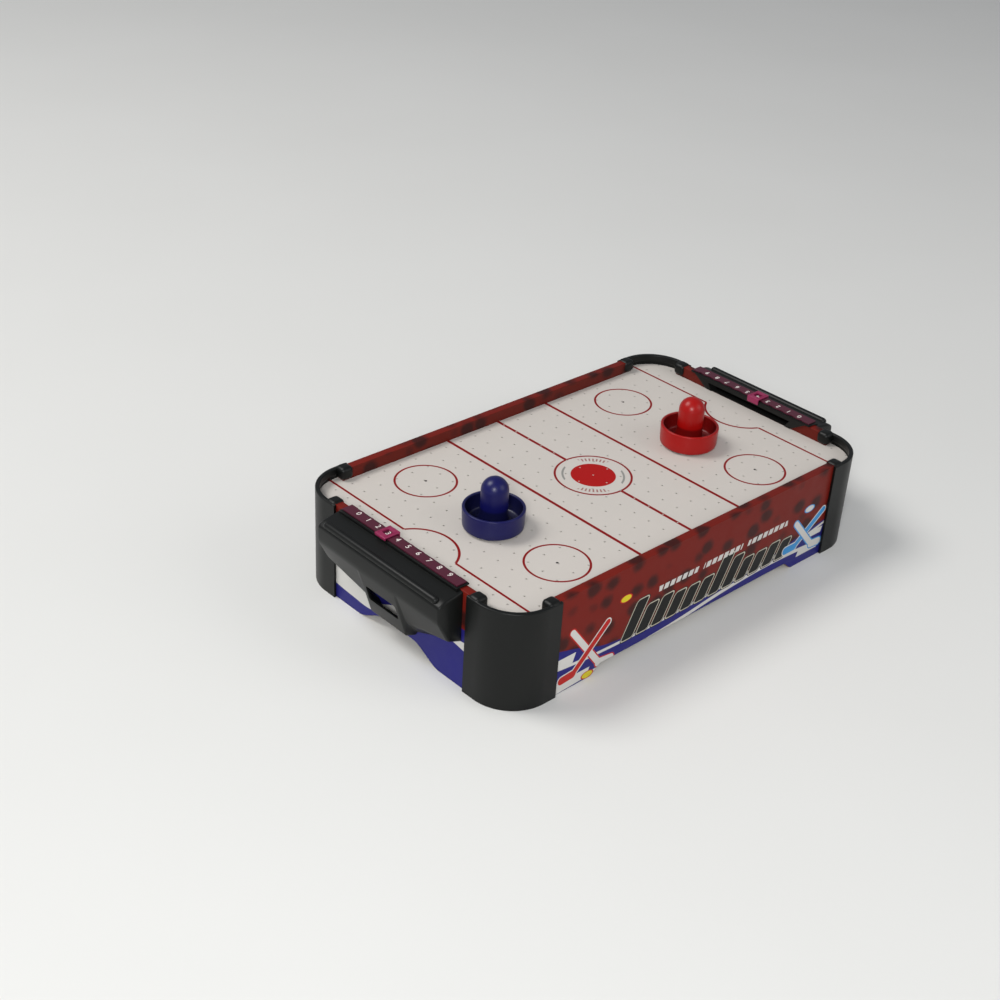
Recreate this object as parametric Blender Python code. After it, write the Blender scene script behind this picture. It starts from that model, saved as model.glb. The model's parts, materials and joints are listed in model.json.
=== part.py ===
"""Tabletop air hockey table: board frame, air chamber with blower, goal boxes with score rails, strikers.

Metres, +Z up. The origin is the middle of the footprint, on the surface that the table stands on.
+X runs along the table to the end with the red striker, and +Y runs to the rear long side.
"""

import bmesh
import bpy
import numpy as np
from mathutils import Matrix, Vector

# Overall sizes
BODY_LENGTH = 0.510
BODY_WIDTH = 0.310
BODY_HEIGHT = 0.105
GOAL_REACH = 0.025
GAP = 0.0003

# Boards
BOARD_THICKNESS = 0.009
PLAYFIELD_THICKNESS = 0.005
PLAYFIELD_DROP = 0.012
BOTTOM_BOARD_THICKNESS = 0.003
BOTTOM_BOARD_LIFT = 0.022
SIDE_ARCH_HEIGHT = 0.0095
SIDE_FOOT_LENGTH = 0.057
SIDE_ARCH_RUN = 0.016
END_ARCH_HEIGHT = 0.0145
END_FOOT_LENGTH = 0.046
END_ARCH_FLAT = 0.0205
ARCH_STEPS = 6

# Corner caps
CAP_WALL = 0.0025
CAP_ARM = 0.060
CAP_STRAIGHT = 0.015
CLIP_LENGTH = 0.0145
CLIP_RISE = 0.002
CAP_STEPS = 8

# Inner timber
LEDGE_WIDTH = 0.012
LEDGE_HEIGHT = 0.014
LEDGE_END_MARGIN = 0.005
BLOCK_SIDE = 0.018
BLOCK_CLEAR_OF_WALL = 0.006

# Goal boxes
GOAL_CAP_MARGIN = 0.007
GOAL_WALL = 0.0022
GOAL_ROOF_DROP = 0.0035
GOAL_EDGE_DROP = 0.0075
GOAL_EDGE_INSET = 0.004
GOAL_RIDGE_DROP = 0.025
GOAL_SHOULDER_DROP = 0.0006
SIDE_FRONT_LOW = 0.056
SIDE_BACK_LOW = 0.050
SIDE_INSET = 0.012
SHOULDER_FRONT_LOW = 0.045
SHOULDER_BACK_LOW = 0.028
SHOULDER_INSET = 0.013
SHOULDER_WIDTH = 0.0055
TRAY_HALF_WIDTH = 0.0245
TRAY_FRONT_LOW = 0.026
TRAY_BACK_LOW = 0.022
TRAY_INSET = 0.016
WINDOW_HALF_WIDTH = 0.0215
WINDOW_HEIGHT = 0.017
WINDOW_LIP = 0.0225
MOUTH_SHOULDER = 0.032
MOUTH_FLARE = 0.008
MOUTH_HEIGHT = 0.0085
FLANGE_BORDER = 0.008
FLANGE_FLARE = 0.020
FLANGE_THICKNESS = 0.0014
RAIL_END_MARGIN = 0.004
RAIL_THICKNESS = 0.0017
RAIL_SHOULDER = 0.0015
GOAL_BLOCK_WIDTH = 0.012
GOAL_BLOCK_HEIGHT = 0.009
GOAL_BLOCK_DEPTH = 0.010
GOAL_BLOCK_DROP = 0.041

# Score strips and markers
STRIP_THICKNESS = 0.0012
STRIP_WIDTH = 0.0120
STRIP_END_MARGIN = 0.002
MARK_END_MARGIN = 0.01875
MARK_COUNT = 10
MARKER_LENGTH = 0.015
MARKER_WALL = 0.0015
MARKER_WINDOW = 0.008
MARKER_LEG = 0.005
LEFT_SCORE = 3
RIGHT_SCORE = 5

# Blower
INTAKE_RADIUS = 0.034
HOUSING_WALL = 0.002
HOUSING_HEIGHT = 0.030
HOUSING_FLANGE = 0.009
OUTLET_COUNT = 6
OUTLET_HEIGHT = 0.016
POST_WIDTH = 0.010
MOTOR_RADIUS = 0.0138
MOTOR_HEIGHT = 0.026
SHAFT_RADIUS = 0.0015
SHAFT_REACH = 0.019
IMPELLER_CLEARANCE = 0.004
IMPELLER_HEIGHT = 0.016
IMPELLER_DISC = 0.0018
HUB_RADIUS = 0.0055
BLADE_COUNT = 9
BLADE_THICKNESS = 0.0014
GUARD_THICKNESS = 0.0016
GUARD_RIM = 0.009
GUARD_RINGS = 3
GUARD_BAR = 0.0022
ROUND_STEPS = 24

# Power inlet and switch, in the rear board
INLET_X = 0.070
SWITCH_X = 0.110
POWER_HEIGHT = 0.052
JACK_RADIUS = 0.0040
JACK_FLANGE_RADIUS = 0.0060
JACK_FLANGE = 0.0016
JACK_BORE = 0.0028
JACK_PIN_RADIUS = 0.0009
JACK_LENGTH = 0.0160
NUT_RADIUS = 0.0062
NUT_THICKNESS = 0.0025
SWITCH_WIDTH = 0.0190
SWITCH_HEIGHT = 0.0130
SWITCH_BEZEL = 0.0016
SWITCH_LIP = 0.0020
SWITCH_DEPTH = 0.0150
ROCKER_CLEARANCE = 0.0008
ROCKER_DEPTH = 0.0050
ROCKER_TILT = 7.0
ROCKER_PIN_RADIUS = 0.0010
WIRE_RADIUS = 0.0011

# Strikers and puck
STRIKER_RADIUS = 0.0305
STRIKER_FOOT_RADIUS = 0.0295
STRIKER_WALL = 0.0030
STRIKER_WALL_HEIGHT = 0.0215
STRIKER_FLOOR = 0.0045
STRIKER_HEIGHT = 0.0525
KNOB_RADIUS = 0.0135
FELT_THICKNESS = 0.0008
FELT_MARGIN = 0.003
BLUE_STRIKER_X = -0.1466
BLUE_STRIKER_Y = -0.0106
RED_STRIKER_X = 0.1279
RED_STRIKER_Y = -0.0138
PUCK_RADIUS = 0.018
PUCK_THICKNESS = 0.004
PUCK_REST = 0.0005

# Screws
SCREW_RADIUS = 0.0015
SCREW_HEAD_RADIUS = 0.0032
SCREW_HEAD = 0.0018
SCREW_STEPS = 10
SCREW_BITE = 0.008
CAP_SCREW_BITE = 0.007
CAP_SCREW_HEIGHT = 0.056

# Levels and half sizes that follow from the above
HALF_LENGTH = BODY_LENGTH / 2
HALF_WIDTH = BODY_WIDTH / 2
PLAY_TOP = BODY_HEIGHT - PLAYFIELD_DROP
PLAY_BOTTOM = PLAY_TOP - PLAYFIELD_THICKNESS
BOTTOM_TOP = BOTTOM_BOARD_LIFT + BOTTOM_BOARD_THICKNESS
CHAMBER_LOW = BOTTOM_TOP + GAP
CHAMBER_HIGH = PLAY_BOTTOM - GAP
BOARD_OUTSET = CAP_WALL + GAP
CAP_RADIUS = CAP_ARM - CAP_STRAIGHT
BOARD_INSET = BOARD_OUTSET + BOARD_THICKNESS
SOCKET_STOP = CAP_ARM - CLIP_LENGTH + CAP_WALL
BOARD_END = SOCKET_STOP + GAP
CLIP_DEPTH = BOARD_INSET + GAP + CAP_WALL
CLIP_TOP = BODY_HEIGHT + CLIP_RISE
GOAL_BACK = HALF_LENGTH - BOARD_OUTSET + GAP
GOAL_FRONT = HALF_LENGTH + GOAL_REACH
RAIL_LOW = BODY_HEIGHT + GAP
RAIL_TOP = RAIL_LOW + RAIL_THICKNESS
RAIL_INNER = HALF_LENGTH - BOARD_INSET - GAP - FLANGE_THICKNESS
RAIL_OUTER = RAIL_INNER + STRIP_WIDTH + 2 * MARKER_WALL
STRIP_TOP = RAIL_TOP + GAP + STRIP_THICKNESS
GOAL_HALF_WIDTH = HALF_WIDTH - CAP_ARM - GOAL_CAP_MARGIN
RAIL_HALF_LENGTH = GOAL_HALF_WIDTH - RAIL_END_MARGIN
MOUTH_HALF_WIDTH = RAIL_HALF_LENGTH - MOUTH_SHOULDER
SCORE_END = RAIL_HALF_LENGTH - MARK_END_MARGIN
MARK_PITCH = 2 * SCORE_END / (MARK_COUNT - 1)


def material(name, color, roughness, metallic=0.0):
    made = bpy.data.materials.new(name)
    made.use_nodes = True
    shader = made.node_tree.nodes["Principled BSDF"]
    shader.inputs["Base Color"].default_value = (*color, 1.0)
    shader.inputs["Roughness"].default_value = roughness
    shader.inputs["Metallic"].default_value = metallic
    return made


def solid(points, faces):
    """A closed shape from its corners and faces, with every face turned outwards."""
    mesh = bmesh.new()
    corners = [mesh.verts.new(point) for point in points]
    for face in faces:
        mesh.faces.new([corners[index] for index in face])
    bmesh.ops.recalc_face_normals(mesh, faces=mesh.faces)
    return mesh


def prism(outline, low, high, axis="Z"):
    """An outline extruded from low to high. The outline gives the two other coordinates in X, Y, Z order."""
    turns = {"X": lambda a, b, c: (c, a, b), "Y": lambda a, b, c: (a, c, b), "Z": lambda a, b, c: (a, b, c)}
    place = turns[axis]
    count = len(outline)
    points = [place(a, b, low) for a, b in outline] + [place(a, b, high) for a, b in outline]
    faces = [tuple(range(count)), tuple(range(count, 2 * count))]
    faces += [(i, (i + 1) % count, count + (i + 1) % count, count + i) for i in range(count)]
    return solid(points, faces)


def box(x, y, z):
    """A block between the pairs x, y and z, which may be given in either order."""
    return prism([(x[0], y[0]), (x[1], y[0]), (x[1], y[1]), (x[0], y[1])], *z)


def circle(radius, steps=ROUND_STEPS, centre=(0.0, 0.0)):
    angles = np.arange(steps) * 2 * np.pi / steps
    return [(centre[0] + radius * np.cos(a), centre[1] + radius * np.sin(a)) for a in angles]


def loft(sections):
    """A closed shape through sections that all have the same number of points."""
    count = len(sections[0])
    points = [point for section in sections for point in section]
    faces = [tuple(range(count)), tuple(range(len(points) - count, len(points)))]
    for ring in range(len(sections) - 1):
        low, high = ring * count, (ring + 1) * count
        faces += [(low + i, low + (i + 1) % count, high + (i + 1) % count, high + i) for i in range(count)]
    return solid(points, faces)


def turned(profile, steps=ROUND_STEPS):
    """A profile of (radius, height) turned about Z. Its first and last points lie on the axis."""
    inner = profile[1:-1]
    points = [(0.0, 0.0, profile[0][1])]
    for radius, height in inner:
        points += [(x, y, height) for x, y in circle(radius, steps)]
    points.append((0.0, 0.0, profile[-1][1]))
    faces = [(0, 1 + i, 1 + (i + 1) % steps) for i in range(steps)]
    for ring in range(len(inner) - 1):
        low, high = 1 + ring * steps, 1 + (ring + 1) * steps
        faces += [(low + i, low + (i + 1) % steps, high + (i + 1) % steps, high + i) for i in range(steps)]
    last = 1 + (len(inner) - 1) * steps
    faces += [(last + i, last + (i + 1) % steps, len(points) - 1) for i in range(steps)]
    return solid(points, faces)


def placed(mesh, matrix):
    bmesh.ops.transform(mesh, matrix=matrix, verts=mesh.verts)
    bmesh.ops.recalc_face_normals(mesh, faces=mesh.faces)
    return mesh


def joined(meshes):
    """Several shapes that don't meet, as one mesh. Only a Boolean uses it."""
    total = bmesh.new()
    for mesh in meshes:
        part = bpy.data.meshes.new("part")
        mesh.to_mesh(part)
        total.from_mesh(part)
        bpy.data.meshes.remove(part)
    return total


def new_object(name, mesh, origin=(0.0, 0.0, 0.0)):
    data = bpy.data.meshes.new(name)
    bmesh.ops.translate(mesh, verts=mesh.verts, vec=-Vector(origin))
    mesh.to_mesh(data)
    mesh.free()
    made = bpy.data.objects.new(name, data)
    made.location = origin
    bpy.context.scene.collection.objects.link(made)
    return made


def part(name, mesh, look, origin=(0.0, 0.0, 0.0), smooth=False):
    made = new_object(name, mesh, origin)
    made.data.materials.append(look)
    if smooth:
        made.data.shade_smooth()
        made.data.set_sharp_from_angle(angle=np.radians(40))
    return made


def boolean(target, mesh, operation="DIFFERENCE"):
    """Cuts a shape from a part, or joins it to the part."""
    tool = new_object(f"{target.name}_tool", mesh)
    tool.hide_render = True
    tool.display_type = "WIRE"
    modifier = target.modifiers.new("shape", "BOOLEAN")
    modifier.operation = operation
    modifier.solver = "EXACT"
    modifier.object = tool


def toward(direction):
    """The rotation that turns +Z to a direction."""
    return Vector((0.0, 0.0, 1.0)).rotation_difference(Vector(direction)).to_matrix().to_4x4()


def rod(start, direction, length, radius, steps=SCREW_STEPS):
    """A round bar from start along direction, cut to a regular outline."""
    return placed(prism(circle(radius, steps), 0.0, length), Matrix.Translation(start) @ toward(direction))


def screw(name, seat, direction, length, look):
    """A pan-head screw. Its head sits GAP off the point seat, and its shank runs along direction."""
    profile = [(0.0, -GAP - SCREW_HEAD), (0.6 * SCREW_HEAD_RADIUS, -GAP - SCREW_HEAD)]
    profile += [(SCREW_HEAD_RADIUS, -GAP - 0.5 * SCREW_HEAD), (SCREW_HEAD_RADIUS, -GAP), (SCREW_RADIUS, -GAP)]
    profile += [(SCREW_RADIUS, length - SCREW_RADIUS), (0.0, length)]
    mesh = placed(turned(profile, SCREW_STEPS), Matrix.Translation(seat) @ toward(direction))
    return part(name, mesh, look, smooth=True)


def screw_hole(seat, direction, length):
    """The clear hole for a screw, from just outside its seat to just past its tip."""
    direction = Vector(direction)
    start = Vector(seat) - direction * GAP
    return rod(start, direction, length + 3 * GAP, SCREW_RADIUS + GAP)


def arched_outline(half, foot, run, rise):
    """A board's face: flat feet at both ends, and between them a lower edge raised in a smooth arch."""
    steps = np.linspace(0.0, 1.0, ARCH_STEPS + 1)
    curve = [(half - foot - run * s, rise * (1 - np.cos(np.pi * s)) / 2) for s in steps]
    right = [(half, BODY_HEIGHT), (half, 0.0), *curve]
    return right + [(-x, z) for x, z in reversed(right)]


def make_boards(looks):
    """The four boards of the frame. Their ends sit in the corner caps' clips."""
    boards = {}
    outline = arched_outline(HALF_LENGTH - BOARD_END, SIDE_FOOT_LENGTH, SIDE_ARCH_RUN, SIDE_ARCH_HEIGHT)
    for name, side in (("front_board", -1), ("rear_board", 1)):
        faces = (side * (HALF_WIDTH - BOARD_INSET), side * (HALF_WIDTH - BOARD_OUTSET))
        boards[name] = part(name, prism(outline, *faces, "Y"), looks["board"])
    half = HALF_WIDTH - BOARD_END
    outline = arched_outline(half, END_FOOT_LENGTH, half - END_FOOT_LENGTH - END_ARCH_FLAT, END_ARCH_HEIGHT)
    for name, side in (("left_end_board", -1), ("right_end_board", 1)):
        faces = (side * (HALF_LENGTH - BOARD_INSET), side * (HALF_LENGTH - BOARD_OUTSET))
        boards[name] = part(name, prism(outline, *faces, "X"), looks["board"])
        boolean(boards[name], goal_notch(side))
    return boards


def goal_notch(side):
    """The notch in an end board that the puck passes through, wider towards the top."""
    low, high = PLAY_TOP, BODY_HEIGHT + PLAYFIELD_DROP
    inner = MOUTH_HALF_WIDTH + 2 * GAP
    outer = inner + MOUTH_FLARE * (high - low) / PLAYFIELD_DROP
    outline = [(-inner, low), (inner, low), (outer, high), (-outer, high)]
    return prism(outline, side * (HALF_LENGTH - 2 * BOARD_INSET), side * (HALF_LENGTH + BOARD_INSET), "X")


def corner_arc(radius, steps=CAP_STEPS):
    """Points of the rounded corner in the +X +Y quadrant, from the +X side round to the +Y side."""
    centre = (HALF_LENGTH - CAP_RADIUS, HALF_WIDTH - CAP_RADIUS)
    angles = np.linspace(0.0, np.pi / 2, steps + 1)
    return [(centre[0] + radius * np.cos(a), centre[1] + radius * np.sin(a)) for a in angles]


def four_quadrants(quarter):
    """A full outline from its +X +Y quarter, whose points run anticlockwise."""
    outline = list(quarter)
    outline += [(-x, y) for x, y in reversed(quarter)]
    outline += [(-x, -y) for x, y in quarter]
    outline += [(x, -y) for x, y in reversed(quarter)]
    return outline


def deck_outline():
    """Both decks' outline: inside the boards, and past the boards' ends out to the caps' curved walls."""
    reach = (HALF_LENGTH - BOARD_INSET - GAP, HALF_WIDTH - BOARD_INSET - GAP)
    step = (HALF_LENGTH - SOCKET_STOP, HALF_WIDTH - SOCKET_STOP)
    arc = corner_arc(CAP_RADIUS - CAP_WALL - GAP)
    quarter = [(reach[0], step[1]), (arc[0][0], step[1]), *arc, (step[0], arc[-1][1]), (step[0], reach[1])]
    return four_quadrants(quarter)


def make_decks(looks):
    """The playing surface on top of the air chamber, and the board below it with the blower's intake."""
    deck = part("playfield_board", prism(deck_outline(), PLAY_BOTTOM, PLAY_TOP), looks["playfield"])
    floor = part("bottom_board", prism(deck_outline(), BOTTOM_BOARD_LIFT, BOTTOM_TOP), looks["hardboard"])
    boolean(floor, prism(circle(INTAKE_RADIUS), BOTTOM_BOARD_LIFT - CAP_WALL, BOTTOM_TOP + CAP_WALL))
    return deck, floor


def clip_meshes(along, across):
    """The clip at one end of the +X +Y cap: along and across are the corner's two coordinates."""
    near, far = along - CAP_ARM, along - CAP_ARM + CLIP_LENGTH
    stop = along - SOCKET_STOP
    outer, inner = across, across - CLIP_DEPTH
    slot_outer, slot_inner = across - CAP_WALL, across - BOARD_INSET - GAP
    hook = [(outer, 0.0), (outer, CLIP_TOP), (inner, CLIP_TOP), (inner, PLAY_TOP + GAP)]
    hook += [(slot_inner, PLAY_TOP + GAP), (slot_inner, RAIL_LOW), (slot_outer, RAIL_LOW), (slot_outer, 0.0)]
    end = [(outer, 0.0), (outer, CLIP_TOP), (inner, CLIP_TOP), (inner, PLAY_TOP + GAP)]
    end += [(slot_outer, PLAY_TOP + GAP), (slot_outer, CHAMBER_HIGH), (inner, CHAMBER_HIGH)]
    end += [(inner, CHAMBER_LOW), (slot_outer, CHAMBER_LOW), (slot_outer, 0.0)]
    leg = [(slot_inner, CHAMBER_LOW), (slot_inner, CHAMBER_HIGH), (inner, CHAMBER_HIGH), (inner, CHAMBER_LOW)]
    return [(hook, near, far), (end, stop, far), (leg, near, far)]


def make_caps(looks):
    """Four moulded corners: a thin curved wall whose two ends are clips that hold the boards."""
    outer, inner = corner_arc(CAP_RADIUS), corner_arc(CAP_RADIUS - CAP_WALL)
    reach = CAP_ARM - CLIP_LENGTH / 2
    ends = ((HALF_LENGTH, HALF_WIDTH - reach), (HALF_LENGTH - reach, HALF_WIDTH))
    wall = [ends[0], *outer, ends[1], (ends[1][0], ends[1][1] - CAP_WALL)]
    wall += [*reversed(inner), (ends[0][0] - CAP_WALL, ends[0][1])]
    caps = {}
    for end_name, sx in (("left", -1), ("right", 1)):
        for side_name, sy in (("front", -1), ("rear", 1)):
            turn = Matrix.Diagonal((sx, sy, 1, 1))
            name = f"corner_cap_{side_name}_{end_name}"
            made = part(name, placed(prism(wall, 0.0, BODY_HEIGHT), turn), looks["black"], smooth=True)
            for axis, along, across in (("X", HALF_LENGTH, HALF_WIDTH), ("Y", HALF_WIDTH, HALF_LENGTH)):
                for outline, low, high in clip_meshes(along, across):
                    boolean(made, placed(prism(outline, low, high, axis), turn), "UNION")
            caps[name] = made
    return caps


def goal_loft(outer, skin):
    """The goal box's outside with skin 0, or its hollow, a wall inside that and open at the back."""
    back = GOAL_BACK if outer else GOAL_BACK - CAP_WALL
    edge = GOAL_FRONT - skin
    top = [(back, RAIL_TOP), (RAIL_OUTER, RAIL_TOP)] if outer else []
    shoulder = RAIL_OUTER + RAIL_SHOULDER if outer else back
    top += [(shoulder, BODY_HEIGHT - GOAL_SHOULDER_DROP - skin)]
    top += [(edge - GOAL_EDGE_INSET, BODY_HEIGHT - GOAL_ROOF_DROP - skin)]
    top += [(edge, BODY_HEIGHT - GOAL_EDGE_DROP - skin / 2), (edge, BODY_HEIGHT - GOAL_RIDGE_DROP)]
    stations = [
        (GOAL_HALF_WIDTH, SIDE_INSET, SIDE_FRONT_LOW, SIDE_BACK_LOW),
        (TRAY_HALF_WIDTH + SHOULDER_WIDTH, SHOULDER_INSET, SHOULDER_FRONT_LOW, SHOULDER_BACK_LOW),
        (TRAY_HALF_WIDTH, TRAY_INSET, TRAY_FRONT_LOW, TRAY_BACK_LOW),
    ]
    sections = []
    for across, inset, front_low, back_low in stations:
        profile = top + [(edge - inset, front_low + skin), (back, back_low + skin)]
        sections.append([(x, across - skin, z) for x, z in profile])
    mirrored = [[(x, -y, z) for x, y, z in section] for section in reversed(sections)]
    return loft(sections + mirrored)


def flange_outline():
    """The goal's inner face in the Y-Z plane: a border round the mouth, open at the playfield."""
    low, sill = PLAY_TOP + GAP, PLAY_TOP + MOUTH_HEIGHT
    mouth_top = MOUTH_HALF_WIDTH + MOUTH_FLARE * (sill - PLAY_TOP) / PLAYFIELD_DROP
    border = MOUTH_HALF_WIDTH + FLANGE_BORDER
    half = [(mouth_top, sill), (MOUTH_HALF_WIDTH, low), (border, low), (border + FLANGE_FLARE, RAIL_TOP)]
    return half + [(-y, z) for y, z in reversed(half)]


def goal_screw_seats(side):
    """Where the two screws of one goal box sit on the end board's inner face."""
    across = GOAL_HALF_WIDTH - (GOAL_WALL + GOAL_BLOCK_WIDTH) / 2
    height = BODY_HEIGHT - GOAL_BLOCK_DROP
    return [(side * (HALF_LENGTH - BOARD_INSET), y, height) for y in (-across, across)]


def make_goal(name, side, board, looks):
    """A goal box: a hollow shell with a catch tray and window, hooked over the end board by its rail."""
    turn = Matrix.Diagonal((side, 1, 1, 1))
    made = part(name, placed(goal_loft(True, 0.0), turn), looks["black"])
    boolean(made, placed(goal_loft(False, GOAL_WALL), turn))
    rail = ((-RAIL_HALF_LENGTH, RAIL_HALF_LENGTH), (RAIL_LOW, RAIL_TOP))
    boolean(made, placed(box((RAIL_INNER, GOAL_BACK + CAP_WALL), *rail), turn), "UNION")
    flange = prism(flange_outline(), RAIL_INNER, RAIL_INNER + FLANGE_THICKNESS, "X")
    boolean(made, placed(flange, turn), "UNION")
    blocks, holes = [], []
    for x, y, z in goal_screw_seats(side):
        wide, high = GOAL_BLOCK_WIDTH / 2, GOAL_BLOCK_HEIGHT / 2
        deep = (side * GOAL_BACK, side * (GOAL_BACK + GOAL_BLOCK_DEPTH))
        blocks.append(box(deep, (y - wide, y + wide), (z - high, z + high)))
        holes.append(screw_hole((x, y, z), (side, 0, 0), BOARD_THICKNESS + SCREW_BITE))
    boolean(made, joined(blocks), "UNION")
    boolean(made, joined(holes))
    boolean(board, joined(holes))
    opening = (TRAY_BACK_LOW + WINDOW_LIP, TRAY_BACK_LOW + WINDOW_LIP + WINDOW_HEIGHT)
    deep = (side * (GOAL_BACK + GOAL_WALL), side * (GOAL_FRONT + CAP_WALL))
    boolean(made, box(deep, (-WINDOW_HALF_WIDTH, WINDOW_HALF_WIDTH), opening))
    for index, seat in enumerate(goal_screw_seats(side)):
        screw(f"{name}_screw_{index + 1}", seat, (side, 0, 0), BOARD_THICKNESS + SCREW_BITE, looks["steel"])


def make_score(end, side, score, looks):
    """A score strip on the goal's rail, and the marker that straddles it. The marks run from +Y to -Y."""
    turn = Matrix.Diagonal((side, 1, 1, 1))
    low = RAIL_INNER + MARKER_WALL
    length = RAIL_HALF_LENGTH - STRIP_END_MARGIN
    strip = box((low, low + STRIP_WIDTH), (-length, length), (RAIL_TOP + GAP, STRIP_TOP))
    part(f"score_strip_{end}", placed(strip, turn), looks["strip"])
    inner, outer = RAIL_INNER - GAP, RAIL_OUTER + GAP
    deck = STRIP_TOP + GAP
    arch = [(inner, STRIP_TOP - MARKER_LEG), (inner, deck), (outer, deck), (outer, RAIL_TOP + GAP)]
    arch += [(outer + MARKER_WALL, RAIL_TOP + GAP), (outer + MARKER_WALL, deck + MARKER_WALL)]
    arch += [(inner - MARKER_WALL, deck + MARKER_WALL), (inner - MARKER_WALL, STRIP_TOP - MARKER_LEG)]
    middle = SCORE_END - score * MARK_PITCH
    mesh = prism(arch, middle - MARKER_LENGTH / 2, middle + MARKER_LENGTH / 2, "Y")
    origin = (side * HALF_LENGTH, middle, deck)
    made = part(f"score_marker_{end}", placed(mesh, turn), looks["marker"], origin=origin)
    centre, half = low + STRIP_WIDTH / 2, MARKER_WINDOW / 2
    heights = (deck - GAP / 2, deck + MARKER_LEG)
    window = box((centre - half, centre + half), (middle - half, middle + half), heights)
    boolean(made, placed(window, turn))


def make_blower(floor, looks):
    """The blower over the intake: housing with outlets, motor on top, impeller inside, grille below."""
    low, high = CHAMBER_LOW, CHAMBER_LOW + HOUSING_HEIGHT
    wall = INTAKE_RADIUS + HOUSING_WALL
    rim = wall + HOUSING_FLANGE
    profile = [(0.0, high), (wall, high), (wall, low + HOUSING_WALL), (rim, low + HOUSING_WALL), (rim, low)]
    profile += [(INTAKE_RADIUS, low), (INTAKE_RADIUS, high - HOUSING_WALL), (0.0, high - HOUSING_WALL)]
    housing = part("blower_housing", turned(profile), looks["grey"], smooth=True)
    turns = [Matrix.Rotation(2 * np.pi * i / OUTLET_COUNT, 4, "Z") for i in range(OUTLET_COUNT)]
    wide = np.pi * wall / OUTLET_COUNT - POST_WIDTH / 2
    middle = (low + high) / 2
    heights = (middle - OUTLET_HEIGHT / 2, middle + OUTLET_HEIGHT / 2)
    reach = (INTAKE_RADIUS * 0.85, rim)
    boolean(housing, joined([placed(box(reach, (-wide, wide), heights), turn) for turn in turns]))
    shaft_hole = circle(SHAFT_RADIUS + 2 * GAP, SCREW_STEPS)
    boolean(housing, prism(shaft_hole, high - 2 * HOUSING_WALL, high + HOUSING_WALL))

    base = high + GAP
    profile = [(0.0, base + MOTOR_HEIGHT), (MOTOR_RADIUS, base + MOTOR_HEIGHT), (MOTOR_RADIUS, base)]
    profile += [(SHAFT_RADIUS, base), (SHAFT_RADIUS, base - SHAFT_REACH), (0.0, base - SHAFT_REACH)]
    part("blower_motor", turned(profile), looks["steel"], smooth=True)

    disc_top = high - HOUSING_WALL - IMPELLER_CLEARANCE
    disc_low = disc_top - IMPELLER_DISC
    blade_low = disc_low - IMPELLER_HEIGHT
    radius = INTAKE_RADIUS - IMPELLER_CLEARANCE
    profile = [(0.0, disc_top), (radius, disc_top), (radius, disc_low), (HUB_RADIUS, disc_low)]
    profile += [(HUB_RADIUS, blade_low), (0.0, blade_low)]
    impeller = part("blower_impeller", turned(profile), looks["grey"], smooth=True)
    reach = (HUB_RADIUS * 0.9, radius - GAP)
    thick = (-BLADE_THICKNESS / 2, BLADE_THICKNESS / 2)
    turns = [Matrix.Rotation(2 * np.pi * i / BLADE_COUNT, 4, "Z") for i in range(BLADE_COUNT)]
    heights = (blade_low, disc_low + IMPELLER_DISC / 2)
    boolean(impeller, joined([placed(box(reach, thick, heights), turn) for turn in turns]), "UNION")
    bore_low = base - SHAFT_REACH - GAP
    boolean(impeller, prism(circle(SHAFT_RADIUS + GAP, SCREW_STEPS), bore_low, disc_top + GAP))

    guard_top = BOTTOM_BOARD_LIFT - GAP
    rim = INTAKE_RADIUS + GUARD_RIM
    mesh = prism(circle(rim), guard_top - GUARD_THICKNESS, guard_top)
    guard = part("blower_guard", mesh, looks["black"], smooth=True)
    pitch = INTAKE_RADIUS / (GUARD_RINGS + 0.5)
    slots = []
    for ring in range(GUARD_RINGS):
        inner, outer = pitch * (ring + 0.5) + GUARD_BAR / 2, pitch * (ring + 1.5) - GUARD_BAR / 2
        for quarter in range(4):
            slots.append(slot(inner, outer, quarter, guard_top))
    boolean(guard, joined(slots))

    length = GUARD_THICKNESS + 2 * GAP + BOTTOM_BOARD_THICKNESS + HOUSING_WALL
    holes = []
    for index in range(4):
        angle = np.pi / 4 + index * np.pi / 2
        spot = INTAKE_RADIUS + (GUARD_RIM + HOUSING_WALL) / 2
        seat = (spot * np.cos(angle), spot * np.sin(angle), guard_top - GUARD_THICKNESS)
        holes.append(screw_hole(seat, (0, 0, 1), length))
        screw(f"blower_screw_{index + 1}", seat, (0, 0, 1), length, looks["steel"])
    for made in (guard, floor, housing):
        boolean(made, joined(holes))


def slot(inner, outer, quarter, top):
    """One curved slot of the grille, between two rings and two of the four spokes."""
    start = quarter * np.pi / 2
    edges = []
    for radius in (inner, outer):
        margin = np.arcsin(GUARD_BAR / 2 / radius)
        angles = np.linspace(start + margin, start + np.pi / 2 - margin, 5)
        edges.append([(radius * np.cos(a), radius * np.sin(a)) for a in angles])
    return prism(edges[0] + edges[1][::-1], top - 2 * GUARD_THICKNESS, top + GUARD_THICKNESS)


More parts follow.
